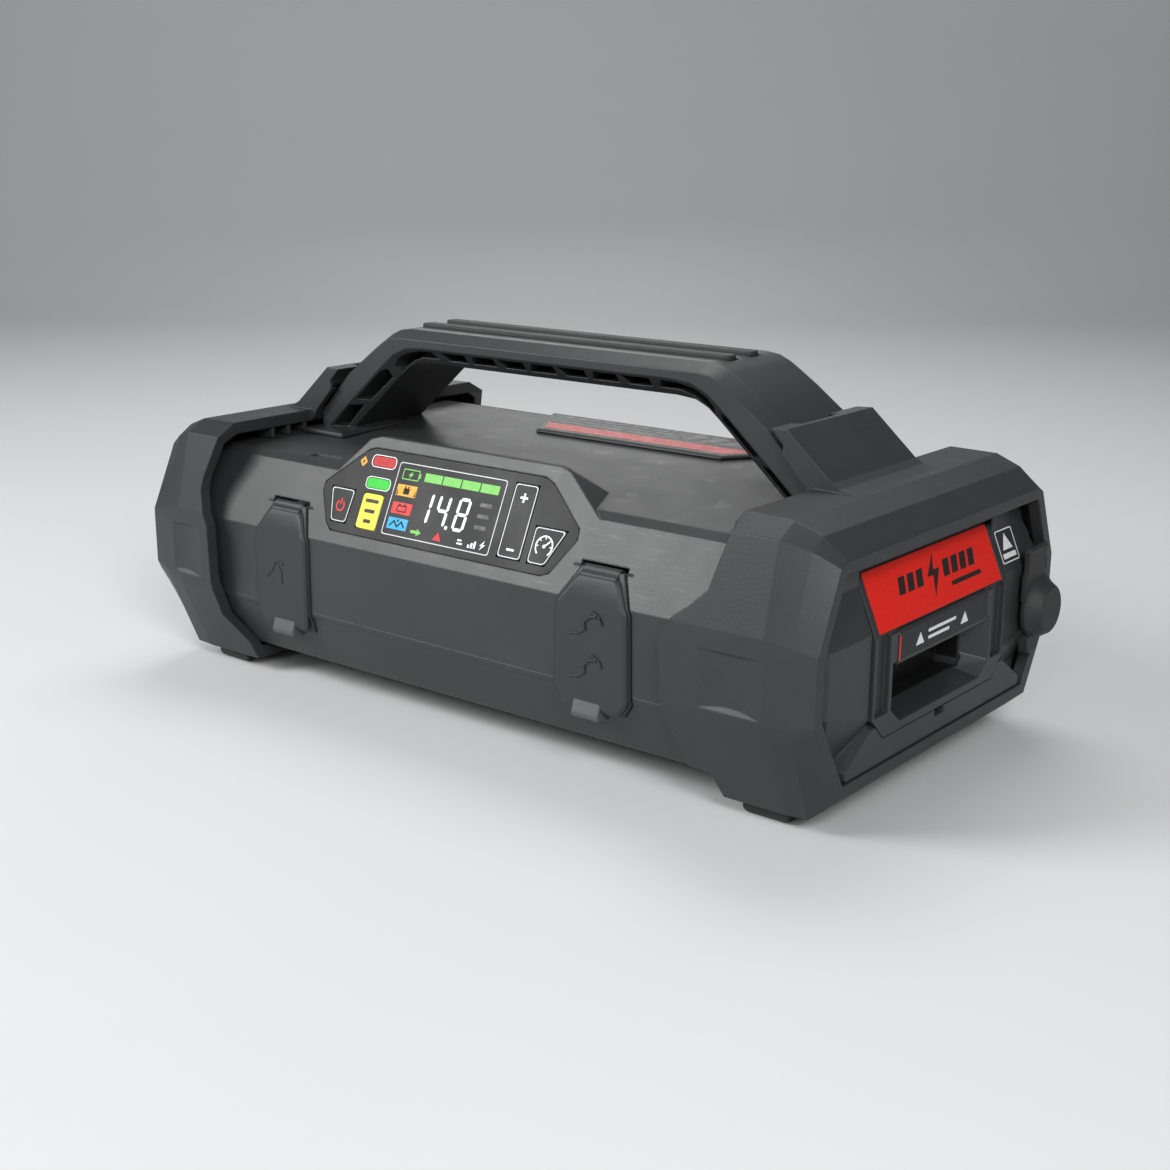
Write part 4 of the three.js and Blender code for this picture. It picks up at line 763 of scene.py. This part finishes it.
# ---------------------------------------------------------------- top plate
TOP = Plane((0, 0, 0.1038), (1, 0, 0), (0, 1, 0))
plate = [(-38.6, 20.9), (55.9, 20.9), (81.2, 54.6), (-59.0, 54.6)]
face = Graphic("top_plate_face", TOP, "housing", "label_black", low=-0.1, high=0.03, slot="label_black")
face.fill(rounded(plate, 2.0)).done()
band = Graphic("top_plate_band", TOP, "housing", "red", low=0.03, high=0.07, slot="label_red")
band.fill([(-40.0, 24.4), (56.5, 24.4), (64.4, 35.0), (-46.6, 35.0)]).done()
text = Graphic("top_plate_marks", TOP, "housing", "ink_grey", low=0.03, high=0.07, slot="label_black")
TEXT_ROWS = {38.6: ((-48, -30), (-27, -8), (-5, 12)), 43.4: ((-51, -36), (-33, -20), (-17, 4), (7, 16)),
             48.2: ((-54, -28), (-25, -12), (-9, 10))}
for row, spans in TEXT_ROWS.items():
    for u0, u1 in spans:
        text.fill([(u0, row), (u1, row), (u1 - 1.4, row + 2.2), (u0 - 1.4, row + 2.2)])
for u in (22, 32, 42, 52):
    text.fill([(u, 40.0), (u + 6.4, 40.0), (u + 9.4, 50.0), (u + 3.0, 50.0)])
text.done()

# ---------------------------------------------------------------- small decal by the label
LEANING = Plane((0.1690, 0, 0.066), (0, 1, 0), (-7.2, 0, 17.0))
decal = Graphic("end_decal", LEANING, "housing", "ink_white", low=-0.05, high=0.06)
decal.frame([(51.6, 4.9), (65.8, 4.9), (65.8, 18.0), (51.6, 18.0)], 0.5, 1.0)
decal.fill(box2(53.4, 6.6, 64.0, 8.6, 0.4))
decal.fill([(58.7, 16.4), (54.6, 10.0), (62.8, 10.0)]).done()

# ---------------------------------------------------------------- room
def plain(name, color, rough):
    n = Nodes(name)
    tone = n.ramp(n.noise(5, 3), [(0.3, 0.0), (0.7, 1.0)])
    n.link(n.mix(tone, scaled(color, 0.985), color), n.shader.inputs["Base Color"])
    n.shader.inputs["Roughness"].default_value = rough
    return n.mat


SWEEP_START = 1.3        # distance behind the object where the floor curves up
SWEEP_RADIUS = 0.6
arc = [math.radians(t) for t in range(10, 91, 10)]
rows = [(-2.5, 0.0), (SWEEP_START, 0.0)]
rows += [(SWEEP_START + SWEEP_RADIUS * math.sin(t), SWEEP_RADIUS - SWEEP_RADIUS * math.cos(t)) for t in arc]
rows.append((SWEEP_START + SWEEP_RADIUS, 2.6))
bm = bmesh.new()
sides = [[bm.verts.new((x, y, z)) for y, z in rows] for x in (-4.0, 4.0)]
for i in range(len(rows) - 1):
    bm.faces.new((sides[0][i], sides[0][i + 1], sides[1][i + 1], sides[1][i]))
bmesh.ops.recalc_face_normals(bm, faces=bm.faces)
MAT["floor"] = plain("floor", (0.6, 0.605, 0.61), 0.7)
floor = mesh_object("floor", bm, "floor")
smooth(floor)
turn = Matrix.Rotation(CAM_AZIMUTH, 4, "Z")
floor.matrix_world = Matrix.Translation((0, 0, -0.0002)) @ turn

world = bpy.data.worlds.new("studio")
bpy.context.scene.world = world
world.use_nodes = True
background = world.node_tree.nodes["Background"]
background.inputs["Color"].default_value = (0.9, 0.93, 0.96, 1)
background.inputs["Strength"].default_value = 0.14


def softbox(name, place, target, size, power):
    light = bpy.data.lights.new(name, "AREA")
    light.shape, light.size, light.size_y, light.energy = "RECTANGLE", size[0], size[1], power
    obj = bpy.data.objects.new(name, light)
    direction = Vector(target) - Vector(place)
    obj.matrix_world = Matrix.Translation(place) @ direction.to_track_quat("-Z", "Y").to_matrix().to_4x4()
    obj.visible_camera = False
    bpy.context.scene.collection.objects.link(obj)


softbox("top_light", (-0.25, 0.5, 1.1), (0, 0, 0.08), (0.8, 0.5), 6)
softbox("front_light", (-0.8, -0.98, 0.76), (0, 0, 0.08), (0.6, 0.5), 17)
softbox("side_light", (1.05, -0.8, 0.85), (0.1, 0, 0.06), (0.5, 0.5), 15)
softbox("fill_light", (0.5, -1.3, 0.62), (0.1, 0, 0.06), (0.3, 0.3), 3)
softbox("back_light", (-0.95, 1.15, 0.55), (0, 0, 0.1), (0.5, 0.3), 1.2)
